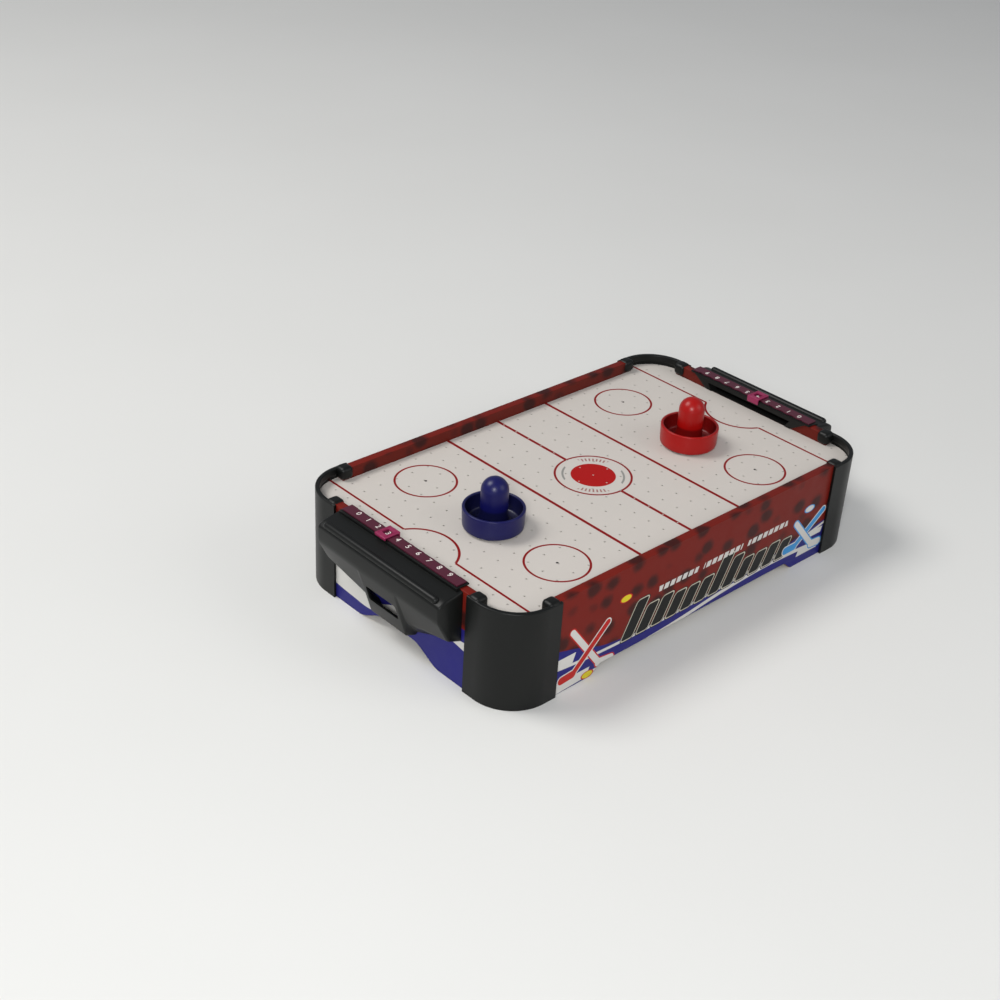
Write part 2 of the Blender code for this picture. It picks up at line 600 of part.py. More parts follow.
def make_power(rear, looks):
    """The inlet jack with its nut and the rocker switch, both through the rear board."""
    face, inside = HALF_WIDTH - BOARD_OUTSET + GAP, HALF_WIDTH - BOARD_INSET
    spot = Matrix.Translation((INLET_X, face, POWER_HEIGHT)) @ toward((0, 1, 0))
    depth = JACK_LENGTH / 2
    profile = [(0.0, -JACK_LENGTH), (JACK_RADIUS, -JACK_LENGTH), (JACK_RADIUS, 0.0)]
    profile += [(JACK_FLANGE_RADIUS, 0.0), (JACK_FLANGE_RADIUS, JACK_FLANGE), (JACK_BORE, JACK_FLANGE)]
    profile += [(JACK_BORE, -depth)]
    profile += [(JACK_PIN_RADIUS, -depth), (JACK_PIN_RADIUS, 0.0), (0.0, 0.0)]
    part("inlet_jack", placed(turned(profile, 16), spot), looks["black"], smooth=True)
    through = (inside - BOARD_THICKNESS, face + BOARD_THICKNESS)
    hole = circle(JACK_RADIUS + GAP, 16, (INLET_X, POWER_HEIGHT))
    boolean(rear, prism(hole, *through, "Y"))
    hexagon = circle(NUT_RADIUS, 6, (INLET_X, POWER_HEIGHT))
    nut = part("inlet_nut", prism(hexagon, inside - GAP - NUT_THICKNESS, inside - GAP, "Y"), looks["steel"])
    boolean(nut, prism(hole, *through, "Y"))

    x = (SWITCH_X - SWITCH_WIDTH / 2, SWITCH_X + SWITCH_WIDTH / 2)
    z = (POWER_HEIGHT - SWITCH_HEIGHT / 2, POWER_HEIGHT + SWITCH_HEIGHT / 2)
    boolean(rear, box((x[0] - GAP, x[1] + GAP), through, (z[0] - GAP, z[1] + GAP)))
    wide, tall = (x[0] - SWITCH_LIP, x[1] + SWITCH_LIP), (z[0] - SWITCH_LIP, z[1] + SWITCH_LIP)
    body = part("switch_body", box(wide, (face, face + SWITCH_BEZEL), tall), looks["black"])
    boolean(body, box(x, (face - SWITCH_DEPTH, face + SWITCH_BEZEL / 2), z), "UNION")
    wall = SWITCH_BEZEL
    pocket = (face - ROCKER_DEPTH - 2 * ROCKER_CLEARANCE, face + 2 * SWITCH_BEZEL)
    boolean(body, box((x[0] + wall, x[1] - wall), pocket, (z[0] + wall, z[1] - wall)))
    half = SWITCH_WIDTH / 2 - wall - ROCKER_CLEARANCE
    low, high = ROCKER_DEPTH / 2, SWITCH_BEZEL + ROCKER_DEPTH / 2
    outline = [(-0.85 * half, -low), (0.85 * half, -low), (half, high), (0.0, 0.75 * high), (-half, high)]
    level = SWITCH_HEIGHT / 2 - wall - ROCKER_CLEARANCE
    pivot = (SWITCH_X, face - ROCKER_DEPTH / 2, POWER_HEIGHT)
    spot = Matrix.Translation(pivot) @ Matrix.Rotation(np.radians(-ROCKER_TILT), 4, "Z")
    rocker = part("switch_rocker", placed(prism(outline, -level, level), spot), looks["rocker"], origin=pivot)
    reach = SWITCH_HEIGHT / 2 - GAP
    boolean(rocker, placed(prism(circle(ROCKER_PIN_RADIUS, SCREW_STEPS), -reach, reach), spot), "UNION")
    hole = circle(ROCKER_PIN_RADIUS + GAP, SCREW_STEPS)
    boolean(body, placed(prism(hole, -SWITCH_HEIGHT, SWITCH_HEIGHT), spot))


def wire(name, points, look):
    """A run of insulated wire through a few points, rounded into one smooth curve."""
    route = np.array(points)
    curve = bpy.data.curves.new(name, "CURVE")
    curve.dimensions = "3D"
    curve.bevel_depth = WIRE_RADIUS
    curve.bevel_resolution = 1
    curve.use_fill_caps = True
    spans = len(route) - 1
    padded = np.vstack([2 * route[0] - route[1], route, 2 * route[-1] - route[-2]])
    smooth = []
    for span in range(spans):
        a, b, c, d = padded[span:span + 4]
        for t in np.linspace(0.0, 1.0, 5)[:-1]:
            smooth.append(0.5 * (2 * b + (c - a) * t + (2 * a - 5 * b + 4 * c - d) * t**2
                                 + (3 * b - a - 3 * c + d) * t**3))
    smooth.append(route[-1])
    spline = curve.splines.new("POLY")
    spline.points.add(len(smooth) - 1)
    for spot, place in zip(spline.points, smooth):
        spot.co = (*place, 1.0)
    made = bpy.data.objects.new(name, curve)
    bpy.context.scene.collection.objects.link(made)
    curve.materials.append(look)


def make_wires(looks):
    """Inlet to switch, switch to motor and inlet to motor. Each end stops GAP short of what it joins."""
    face = HALF_WIDTH - BOARD_OUTSET
    jack, body = face - JACK_LENGTH, face - SWITCH_DEPTH
    side = JACK_RADIUS / 2
    floor = CHAMBER_LOW + 4 * WIRE_RADIUS
    rim = INTAKE_RADIUS + HOUSING_WALL + HOUSING_FLANGE
    over = CHAMBER_LOW + HOUSING_HEIGHT + MOTOR_HEIGHT / 2
    bend = 6 * WIRE_RADIUS
    wire("wire_inlet_to_switch", [
        (INLET_X + side, jack, POWER_HEIGHT), (INLET_X + side + WIRE_RADIUS, jack - bend, POWER_HEIGHT),
        ((INLET_X + SWITCH_X) / 2, jack - 2 * bend, POWER_HEIGHT - WIRE_RADIUS),
        (SWITCH_X - side - WIRE_RADIUS, body - bend, POWER_HEIGHT), (SWITCH_X - side, body, POWER_HEIGHT),
    ], looks["red_wire"])
    for name, start, away, look in (
        ("wire_switch_to_motor", (SWITCH_X + side, body), -1, looks["red_wire"]),
        ("wire_inlet_to_motor", (INLET_X - side, jack), 1, looks["black_wire"]),
    ):
        lane = away * 4 * WIRE_RADIUS
        reach = MOTOR_RADIUS + GAP
        wire(name, [
            (*start, POWER_HEIGHT), (start[0], start[1] - bend, POWER_HEIGHT - WIRE_RADIUS),
            (start[0] - bend, start[1] - 4 * bend, floor + bend / 2),
            (start[0] - 3 * bend, start[1] - 8 * bend, floor),
            (rim + bend, lane, floor), (rim + WIRE_RADIUS, lane, (floor + over) / 2),
            ((rim + reach) / 2, lane, over + bend / 2), (reach + bend, lane, over), (reach, lane, over),
        ], look)


def make_timber(floor, looks):
    """Corner blocks between the two decks, and ledges that carry the playfield along the boards."""
    corner = (CAP_RADIUS - CAP_WALL - BLOCK_CLEAR_OF_WALL) / np.sqrt(2)
    far = (HALF_LENGTH - CAP_RADIUS + corner, HALF_WIDTH - CAP_RADIUS + corner)
    holes = []
    for end, sx in (("left", -1), ("right", 1)):
        for side, sy in (("front", -1), ("rear", 1)):
            x, y = (sx * far[0], sx * (far[0] - BLOCK_SIDE)), (sy * far[1], sy * (far[1] - BLOCK_SIDE))
            made = part(f"corner_block_{side}_{end}", box(x, y, (CHAMBER_LOW, CHAMBER_HIGH)), looks["wood"])
            seat = (sum(x) / 2, sum(y) / 2, BOTTOM_BOARD_LIFT)
            length = BOTTOM_BOARD_THICKNESS + GAP + SCREW_BITE
            holes.append(screw_hole(seat, (0, 0, 1), length))
            boolean(made, screw_hole(seat, (0, 0, 1), length))
            screw(f"bottom_screw_{side}_{end}", seat, (0, 0, 1), length, looks["steel"])
    boolean(floor, joined(holes))
    inner = (HALF_LENGTH - BOARD_INSET - GAP, HALF_WIDTH - BOARD_INSET - GAP)
    heights = (CHAMBER_HIGH - LEDGE_HEIGHT, CHAMBER_HIGH)
    for name, sign in (("front", -1), ("rear", 1)):
        half = HALF_LENGTH - CAP_ARM - LEDGE_END_MARGIN
        faces = (sign * (inner[1] - LEDGE_WIDTH), sign * inner[1])
        part(f"ledge_{name}", box((-half, half), faces, heights), looks["wood"])
    for name, sign in (("left", -1), ("right", 1)):
        half = HALF_WIDTH - CAP_ARM - LEDGE_END_MARGIN
        faces = (sign * (inner[0] - LEDGE_WIDTH), sign * inner[0])
        part(f"ledge_{name}", box(faces, (-half, half), heights), looks["wood"])


def fasten_caps(caps, boards, looks):
    """One screw in each arm of each cap, through the clip's inner leg and into the board."""
    middle = CAP_ARM - (CLIP_LENGTH - CAP_WALL) / 2
    length = CAP_WALL + GAP + CAP_SCREW_BITE
    side_of = {"front": ("front_board", -1), "rear": ("rear_board", 1)}
    end_of = {"left": ("left_end_board", -1), "right": ("right_end_board", 1)}
    for side, (side_board, sy) in side_of.items():
        for end, (end_board, sx) in end_of.items():
            on_side = (sx * (HALF_LENGTH - middle), sy * (HALF_WIDTH - CLIP_DEPTH), CAP_SCREW_HEIGHT)
            on_end = (sx * (HALF_LENGTH - CLIP_DEPTH), sy * (HALF_WIDTH - middle), CAP_SCREW_HEIGHT)
            for label, seat, out, board in (
                ("side", on_side, (0, sy, 0), side_board), ("end", on_end, (sx, 0, 0), end_board),
            ):
                screw(f"cap_screw_{side}_{end}_{label}", seat, out, length, looks["steel"])
                boolean(caps[f"corner_cap_{side}_{end}"], screw_hole(seat, out, length))
                boolean(boards[board], screw_hole(seat, out, length))


def make_striker(name, x, y, look, felt):
    """A striker: a dished base with a flared wall and a round-topped post, and a felt pad under it."""
    low = PLAY_TOP + GAP + FELT_THICKNESS + GAP
    top = STRIKER_HEIGHT
    dome = [np.pi / 2 * i / 5 for i in range(6)]
    profile = [(KNOB_RADIUS * np.sin(a), top - KNOB_RADIUS * (1 - np.cos(a))) for a in dome]
    wall_top = (STRIKER_RADIUS - STRIKER_WALL, STRIKER_WALL_HEIGHT)
    profile += [(KNOB_RADIUS, STRIKER_FLOOR + STRIKER_WALL), (KNOB_RADIUS + STRIKER_WALL, STRIKER_FLOOR)]
    profile += [(STRIKER_FOOT_RADIUS - STRIKER_WALL, STRIKER_FLOOR), wall_top]
    profile += [(STRIKER_RADIUS - 0.3 * STRIKER_WALL, STRIKER_WALL_HEIGHT)]
    profile += [(STRIKER_RADIUS, STRIKER_WALL_HEIGHT - 0.3 * STRIKER_WALL)]
    foot = STRIKER_FOOT_RADIUS
    profile += [(foot, 0.5 * STRIKER_WALL), (foot - 0.5 * STRIKER_WALL, 0.0), (0.0, 0.0)]
    mesh = placed(turned(profile), Matrix.Translation((x, y, low)))
    part(name, mesh, look, origin=(x, y, low), smooth=True)
    outline = circle(STRIKER_FOOT_RADIUS - FELT_MARGIN, centre=(x, y))
    pad = prism(outline, PLAY_TOP + GAP, PLAY_TOP + GAP + FELT_THICKNESS)
    part(f"{name}_felt", pad, felt, origin=(x, y, low))


def make_puck(looks):
    """The puck, lying on edge in the right-hand catch tray, where it drops after a goal."""
    height = TRAY_FRONT_LOW + GOAL_WALL + PUCK_REST + PUCK_RADIUS
    edge = PUCK_THICKNESS / 5
    profile = [(0.0, 0.0), (PUCK_RADIUS - edge, 0.0), (PUCK_RADIUS, edge)]
    profile += [(PUCK_RADIUS, PUCK_THICKNESS - edge), (PUCK_RADIUS - edge, PUCK_THICKNESS)]
    profile += [(0.0, PUCK_THICKNESS)]
    mesh = placed(turned(profile), Matrix.Translation((GOAL_BACK, 0.0, height)) @ toward((1, 0, 0)))
    part("puck", mesh, looks["puck"], origin=(GOAL_BACK, 0.0, height), smooth=True)


def main():
    for obj in list(bpy.data.objects):
        bpy.data.objects.remove(obj, do_unlink=True)
    looks = {
        "board": material("printed_board", (0.16, 0.02, 0.012), 0.45),
        "playfield": material("playfield_white", (0.62, 0.62, 0.58), 0.35),
        "hardboard": material("hardboard", (0.22, 0.13, 0.07), 0.8),
        "wood": material("softwood", (0.55, 0.38, 0.2), 0.75),
        "black": material("black_plastic", (0.016, 0.018, 0.017), 0.4),
        "grey": material("grey_plastic", (0.2, 0.2, 0.21), 0.5),
        "steel": material("zinc_steel", (0.55, 0.55, 0.55), 0.35, 1.0),
        "strip": material("score_magenta", (0.09, 0.005, 0.02), 0.35),
        "marker": material("marker_pink", (0.4, 0.03, 0.1), 0.3),
        "rocker": material("rocker_red", (0.5, 0.01, 0.01), 0.35),
        "red_wire": material("wire_red", (0.4, 0.01, 0.01), 0.5),
        "black_wire": material("wire_black", (0.02, 0.02, 0.02), 0.5),
        "blue": material("striker_blue", (0.012, 0.01, 0.13), 0.3),
        "red": material("striker_red", (0.35, 0.008, 0.004), 0.3),
        "felt": material("felt_grey", (0.12, 0.12, 0.12), 0.95),
        "puck": material("puck_red", (0.4, 0.01, 0.008), 0.35),
    }
    boards = make_boards(looks)
    _, floor = make_decks(looks)
    caps = make_caps(looks)
    make_timber(floor, looks)
    fasten_caps(caps, boards, looks)
    make_goal("goal_box_left", -1, boards["left_end_board"], looks)
    make_goal("goal_box_right", 1, boards["right_end_board"], looks)
    make_score("left", -1, LEFT_SCORE, looks)
    make_score("right", 1, RIGHT_SCORE, looks)
    make_blower(floor, looks)
    make_power(boards["rear_board"], looks)
    make_wires(looks)
    make_striker("striker_blue", BLUE_STRIKER_X, BLUE_STRIKER_Y, looks["blue"], looks["felt"])
    make_striker("striker_red", RED_STRIKER_X, RED_STRIKER_Y, looks["red"], looks["felt"])
    make_puck(looks)


main()
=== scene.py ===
"""Looks of the tabletop air hockey table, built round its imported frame. Metres, +Z up."""

import json
from math import cos, pi, radians, sin

import bmesh
import bpy
import numpy as np
from mathutils import Matrix, Quaternion, Vector
from mathutils.geometry import delaunay_2d_cdt


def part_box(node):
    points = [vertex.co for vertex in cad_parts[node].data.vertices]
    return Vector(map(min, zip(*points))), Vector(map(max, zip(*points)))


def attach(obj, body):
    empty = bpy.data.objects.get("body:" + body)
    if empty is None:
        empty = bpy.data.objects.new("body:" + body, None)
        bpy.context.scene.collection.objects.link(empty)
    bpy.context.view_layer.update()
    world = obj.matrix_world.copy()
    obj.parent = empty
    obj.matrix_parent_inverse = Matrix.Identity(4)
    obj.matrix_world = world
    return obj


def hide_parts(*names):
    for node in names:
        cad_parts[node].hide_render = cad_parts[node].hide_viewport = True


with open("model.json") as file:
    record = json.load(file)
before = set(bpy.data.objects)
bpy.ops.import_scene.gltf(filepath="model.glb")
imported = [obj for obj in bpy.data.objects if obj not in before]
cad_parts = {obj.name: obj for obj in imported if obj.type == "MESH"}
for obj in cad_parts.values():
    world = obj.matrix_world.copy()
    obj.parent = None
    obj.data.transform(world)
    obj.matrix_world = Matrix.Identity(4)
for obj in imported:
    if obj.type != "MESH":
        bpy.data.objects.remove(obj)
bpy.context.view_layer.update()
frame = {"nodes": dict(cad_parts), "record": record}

RECORD = frame["record"]
BODY_OF = {node: body for body, nodes in RECORD["behaviour"]["bodies"].items() for node in nodes}
SLOT_OF = {row["node"]: row["material_slot"] for row in RECORD["subparts"]}

# Sizes read from the frame
CAP_LOW, CAP_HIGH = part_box("corner_cap_rear_right")
BOARD_LOW, BOARD_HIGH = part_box("rear_board")
END_LOW, END_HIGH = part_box("right_end_board")
DECK_LOW, DECK_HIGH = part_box("playfield_board")
GOAL_LOW, GOAL_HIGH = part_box("goal_box_right")
STRIP_LOW, STRIP_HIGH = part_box("score_strip_right")
FLOOR_BOARD_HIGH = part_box("bottom_board")[1]
SWITCH_LOW, SWITCH_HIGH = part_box("switch_body")
INLET = (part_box("inlet_jack")[0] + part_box("inlet_jack")[1]) / 2
HALF_LENGTH, HALF_WIDTH = CAP_HIGH.x, CAP_HIGH.y
BOARD_TOP = BOARD_HIGH.z
PLAY_TOP = DECK_HIGH.z

# Sizes that only the looks have
GAP = 0.0003
CAP_WALL = 0.0025
CAP_RIM = 0.0046
CAP_RADIUS = 0.045
CLIP_LENGTH = 0.0145
HOLE_RADIUS = 0.0008
HOLE_PITCH = (0.0203, 0.0191)
HOLE_COUNT = (11, 7)
GOAL_WALL = 0.0022
SWITCH_LIP = 0.0023
BOARD_EDGE = 0.0006
INLET_HOLE = 0.0043
OVERCUT = 0.01


# ---------------------------------------------------------------- meshes


def solid(points, faces):
    """A closed shape from its corners and faces, with every face turned outwards."""
    mesh = bmesh.new()
    corners = [mesh.verts.new(point) for point in points]
    for face in faces:
        mesh.faces.new([corners[index] for index in face])
    bmesh.ops.recalc_face_normals(mesh, faces=mesh.faces)
    return mesh


def loft(sections):
    """A closed shape through sections that all have the same number of points."""
    count = len(sections[0])
    points = [point for section in sections for point in section]
    faces = [tuple(range(count)), tuple(range(len(points) - count, len(points)))]
    for ring in range(len(sections) - 1):
        low, high = ring * count, (ring + 1) * count
        faces += [(low + i, low + (i + 1) % count, high + (i + 1) % count, high + i) for i in range(count)]
    return solid(points, faces)


def prism(outline, low, high, axis="Z"):
    """An outline extruded from low to high. The outline gives the two other coordinates in X, Y, Z order."""
    turn = {"X": lambda a, b, c: (c, a, b), "Y": lambda a, b, c: (a, c, b), "Z": lambda a, b, c: (a, b, c)}
    return loft([[turn[axis](a, b, level) for a, b in outline] for level in (low, high)])


def box(x, y, z):
    return prism([(x[0], y[0]), (x[1], y[0]), (x[1], y[1]), (x[0], y[1])], *z)


def through(low, high):
    """A cutter's two levels, past both faces of what it cuts."""
    return low - OVERCUT, high + OVERCUT


def circle(radius, steps, centre=(0.0, 0.0)):
    angles = np.arange(steps) * 2 * pi / steps
    return [(centre[0] + radius * cos(a), centre[1] + radius * sin(a)) for a in angles]


def rounded(points, radii, steps=5, closed=True):
    """A polyline with a smooth curve in place of each corner whose radius isn't zero."""
    count = len(points)
    corners = [np.array(point, float) for point in points]
    made = []
    for index, corner in enumerate(corners):
        radius = radii[index] if hasattr(radii, "__len__") else radii
        if radius == 0 or (not closed and index in (0, count - 1)):
            made.append(tuple(corner))
            continue
        before, after = corners[index - 1] - corner, corners[(index + 1) % count] - corner
        reach = min(radius, 0.48 * np.linalg.norm(before), 0.48 * np.linalg.norm(after))
        start = corner + before / np.linalg.norm(before) * reach
        end = corner + after / np.linalg.norm(after) * reach
        for t in np.linspace(0.0, 1.0, steps + 1):
            made.append(tuple((1 - t) ** 2 * start + 2 * t * (1 - t) * corner + t * t * end))
    return made


def turned(profile, steps=72):
    """A profile of (radius, height) turned about Z. Its first and last points lie on the axis."""
    inner = profile[1:-1]
    points = [(0.0, 0.0, profile[0][1])]
    for radius, height in inner:
        points += [(x, y, height) for x, y in circle(radius, steps)]
    points.append((0.0, 0.0, profile[-1][1]))
    faces = [(0, 1 + i, 1 + (i + 1) % steps) for i in range(steps)]
    for ring in range(len(inner) - 1):
        low, high = 1 + ring * steps, 1 + (ring + 1) * steps
        faces += [(low + i, low + (i + 1) % steps, high + (i + 1) % steps, high + i) for i in range(steps)]
    last = 1 + (len(inner) - 1) * steps
    faces += [(last + i, last + (i + 1) % steps, len(points) - 1) for i in range(steps)]
    return solid(points, faces)


def placed(mesh, matrix):
    bmesh.ops.transform(mesh, matrix=matrix, verts=mesh.verts)
    bmesh.ops.recalc_face_normals(mesh, faces=mesh.faces)
    return mesh


def bevelled(mesh, width, segments=3, angle=30):
    """The same shape with its sharp edges rounded."""
    sharp = [edge for edge in mesh.edges if edge.calc_face_angle(0.0) > radians(angle)]
    bmesh.ops.bevel(mesh, geom=sharp, offset=width, segments=segments, profile=0.5, affect="EDGES")
    return mesh


def joined(meshes):
    total = bmesh.new()
    for mesh in meshes:
        part = bpy.data.meshes.new("part")
        mesh.to_mesh(part)
        total.from_mesh(part)
        bpy.data.meshes.remove(part)
    return total


def new_object(name, mesh):
    data = bpy.data.meshes.new(name)
    mesh.to_mesh(data)
    mesh.free()
    made = bpy.data.objects.new(name, data)
    bpy.context.scene.collection.objects.link(made)
    return made


def settle(made):
    """Applies an object's modifiers, and deletes the shapes that they used."""
    tools = [modifier.object for modifier in made.modifiers if modifier.type == "BOOLEAN"]
    bpy.context.view_layer.update()
    graph = bpy.context.evaluated_depsgraph_get()
    data = bpy.data.meshes.new_from_object(made.evaluated_get(graph))
    made.modifiers.clear()
    made.data = data
    for tool in tools:
        bpy.data.objects.remove(tool)


def combine(made, *steps):
    """Cuts shapes from an object or joins them to it, in the given order, as (operation, shape) pairs."""
    for operation, mesh in steps:
        tool = new_object("tool", mesh)
        tool.hide_render = True
        modifier = made.modifiers.new("shape", "BOOLEAN")
        modifier.operation = operation
        modifier.solver = "EXACT"
        modifier.object = tool
    settle(made)
    return made


def finish_piece(made, look, node, *others, smooth=38):
    """Gives a piece its material, and has it stand for CAD nodes on the first one's body."""
    made.data.materials.clear()
    made.data.materials.append(look.material)
    made.data.shade_smooth()
    made.data.set_sharp_from_angle(angle=radians(smooth))
    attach(made, BODY_OF[node])
    if others:
        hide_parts(*others)
    return made


def stand_for(node, mesh, look, smooth=38):
    """A detailed piece in the place of one CAD node."""
    made = mesh if isinstance(mesh, bpy.types.Object) else new_object(f"{node}_look", mesh)
    return finish_piece(made, look, node, node, smooth=smooth)


def dress(node, look, edge=0.0):
    """A CAD node that stays: a material, and rounded edges where it has sharp ones."""
    made = frame["nodes"][node]
    made.data.materials.clear()
    made.data.materials.append(look.material)
    if edge:
        weld = made.modifiers.new("weld", "WELD")
        weld.merge_threshold = 1e-5
        bevel = made.modifiers.new("edges", "BEVEL")
        bevel.width, bevel.segments, bevel.limit_method = edge, 2, "ANGLE"
        bevel.angle_limit = radians(40)
        made.modifiers.new("normals", "WEIGHTED_NORMAL")


# ---------------------------------------------------------------- materials


def srgb(red, green, blue):
    """A linear colour from the usual 0 to 255 values."""
    shares = [value / 255 for value in (red, green, blue)]
    return tuple(c / 12.92 if c <= 0.04 else ((c + 0.055) / 1.055) ** 2.4 for c in shares)


class Term:
    """A value in a material's node tree. Arithmetic on it adds Math nodes."""

    def __init__(self, tree, socket):
        self.tree, self.socket = tree, socket

    def math(self, operation, *others, clamp=False):
        node = self.tree.nodes.new("ShaderNodeMath")
        node.operation, node.use_clamp = operation, clamp
        for place, value in zip(node.inputs, (self, *others)):
            if isinstance(value, Term):
                self.tree.links.new(value.socket, place)
            else:
                place.default_value = value
        return Term(self.tree, node.outputs[0])

    def __add__(self, other):
        return self.math("ADD", other)

    def __sub__(self, other):
        return self.math("SUBTRACT", other)

    def __mul__(self, other):
        return self.math("MULTIPLY", other)

    def __abs__(self):
        return self.math("ABSOLUTE")

    def least(self, other):
        return self.math("MINIMUM", other)

    def most(self, other):
        return self.math("MAXIMUM", other)

    def hypot(self, other):
        return (self * self + other * other).math("SQRT")

    def inside(self, soft=0.00015):
        """1 where this signed distance is below zero, and 0 where it is above, with a soft edge between."""
        return self.math("MULTIPLY_ADD", -0.5 / soft, 0.5, clamp=True)

    def stripes(self, pitch):
        """The distance to the middle of the nearest of a row of stripes."""
        return abs((self * (1 / pitch)).math("FRACT") - 0.5) * pitch


class Look:
    """One material: a Principled shader, and the node terms that drive it."""

    def __init__(self, name, colour, roughness, metallic=0.0, **sockets):
        self.material = bpy.data.materials.new(name)
        self.material.use_nodes = True
        self.tree = self.material.node_tree
        self.shader = self.tree.nodes["Principled BSDF"]
        values = {"Base Color": (*colour, 1.0), "Roughness": roughness, "Metallic": metallic}
        values.update({key.replace("_", " "): value for key, value in sockets.items()})
        for socket, value in values.items():
            self.shader.inputs[socket].default_value = value
        self.colour = None
        self.roughness = roughness
        self.place = self.tree.nodes.new("ShaderNodeTexCoord").outputs["Object"]

    def node(self, kind, **inputs):
        made = self.tree.nodes.new(kind)
        for name, value in inputs.items():
            socket = made.inputs[name]
            if isinstance(value, Term):
                self.tree.links.new(value.socket, socket)
            elif isinstance(value, bpy.types.NodeSocket):
                self.tree.links.new(value, socket)
            else:
                socket.default_value = value
        return made

    def axes(self):
        outputs = self.node("ShaderNodeSeparateXYZ", Vector=self.place).outputs
        return [Term(self.tree, socket) for socket in outputs]

    def normal(self):
        geometry = self.node("ShaderNodeNewGeometry")
        outputs = self.node("ShaderNodeSeparateXYZ", Vector=geometry.outputs["True Normal"]).outputs
        return [Term(self.tree, socket) for socket in outputs]

    def stretched(self, stretch):
        mapping = self.node("ShaderNodeMapping", Vector=self.place)
        mapping.inputs["Scale"].default_value = stretch
        return mapping.outputs[0]

    def noise(self, size, detail=2.0, stretch=(1, 1, 1), rough=0.5):
        """Noise from 0 to 1, with features of about the given size."""
        made = self.node("ShaderNodeTexNoise", Vector=self.stretched(stretch), Scale=1 / size)
        made.inputs["Detail"].default_value, made.inputs["Roughness"].default_value = detail, rough
        return Term(self.tree, made.outputs["Fac"])

    def cells(self, size, stretch=(1, 1, 1), random=1.0):
        """The distance to the middle of the nearest cell, in cells."""
        made = self.node("ShaderNodeTexVoronoi", Vector=self.stretched(stretch), Scale=1 / size)
        made.inputs["Randomness"].default_value = random
        return Term(self.tree, made.outputs["Distance"])

    def curve(self, term, points, span, height):
        """A smooth curve through (along, value) points, over -span to span and 0 to height."""
        made = self.node("ShaderNodeFloatCurve", Value=(term * (0.5 / span) + 0.5))
        line = made.mapping.curves[0]
        spots = [((a / span + 1) / 2, b / height) for a, b in points]
        line.points[0].location, line.points[-1].location = spots[0], spots[-1]
        for spot in spots[1:-1]:
            line.points.new(*spot)
        made.mapping.update()
        return Term(self.tree, made.outputs[0]) * height

    def paint(self, mask, colour, strength=1.0):
        """Lays a colour over what is there, where the mask is 1."""
        made = self.tree.nodes.new("ShaderNodeMix")
        made.data_type = "RGBA"
        self.tree.links.new((mask if strength == 1.0 else mask * strength).socket, made.inputs[0])
        under, over = made.inputs[6], made.inputs[7]
        if self.colour is None:
            under.default_value = self.shader.inputs["Base Color"].default_value
        else:
            self.tree.links.new(self.colour, under)
        over.default_value = (*colour, 1.0)
        self.colour = made.outputs[2]
        self.tree.links.new(self.colour, self.shader.inputs["Base Color"])

    def rough(self, term, amount):
        """Varies the roughness by a term from 0 to 1."""
        varied = term.math("MULTIPLY_ADD", amount, self.roughness - amount / 2, clamp=True)
        self.tree.links.new(varied.socket, self.shader.inputs["Roughness"])

    def bump(self, height, depth):
        """Raises the surface by a term from 0 to 1, times a depth in metres."""
        made = self.node("ShaderNodeBump", Height=height, Distance=depth)
        made.inputs["Strength"].default_value = 1.0
        self.tree.links.new(made.outputs[0], self.shader.inputs["Normal"])


def moulded(name, colour, roughness, dust=0.04, grain=0.000006, **sockets):
    """Moulded plastic: fine spark-eroded grain, slow colour drift, and a little dust on what faces up."""
    look = Look(name, colour, roughness, **sockets)
    drift = look.noise(0.03, detail=4.0)
    fine = look.noise(0.00045, detail=1.0)
    look.paint(drift, tuple(min(1.0, 1.2 * c + 0.001) for c in colour), 0.5)
    specks = look.noise(0.003, detail=7.0, rough=0.85).math("MULTIPLY_ADD", 6.0, -3.5, clamp=True)
    up = look.normal()[2].math("MULTIPLY_ADD", 1.4, -0.4, clamp=True)
    look.paint(specks * up, srgb(150, 145, 135), dust)
    look.rough(drift * 0.7 + specks * 0.3, 0.08)
    look.bump(fine, grain)
    return look


def deepen(look, centre, radius, levels, shade, strength):
    """Painted shade: darkens the inside of a dish, round a vertical axis, from its floor up to its rim."""
    x, y, z = look.axes()
    reach = (x - centre.x).hypot(y - centre.y)
    shape = (reach - radius).most(z - levels[1]).most(z * -1.0 + levels[0])
    look.paint(shape.inside(0.0012), shade, strength)


def timber(name, colour, dark, along):
    """Sawn timber: long streaks of grain along one axis, and pores."""
    look = Look(name, colour, 0.75)
    stretch = [6.0, 6.0, 6.0]
    stretch["XYZ".index(along)] = 0.35
    streaks = look.noise(0.012, detail=5.0, stretch=stretch, rough=0.6)
    look.paint(streaks.math("MULTIPLY_ADD", 2.4, -0.75, clamp=True), dark, 0.8)
    pores = look.noise(0.002, detail=3.0, stretch=stretch)
    look.paint(pores.math("MULTIPLY_ADD", 5.0, -2.9, clamp=True), tuple(0.4 * c for c in dark), 0.5)
    look.rough(streaks, 0.15)
    look.bump(streaks * 0.6 + pores * 0.4, 0.00015)
    return look


def zinc():
    """Zinc-plated steel: mottled, slightly yellow, with fine turning marks."""
    look = Look("zinc_plate", srgb(190, 188, 178), 0.32, 1.0)
    mottle = look.noise(0.0015, detail=4.0)
    look.paint(mottle, srgb(150, 150, 142), 0.5)
    look.rough(mottle, 0.2)
    look.bump(look.noise(0.0002, detail=1.0), 0.00001)
    return look


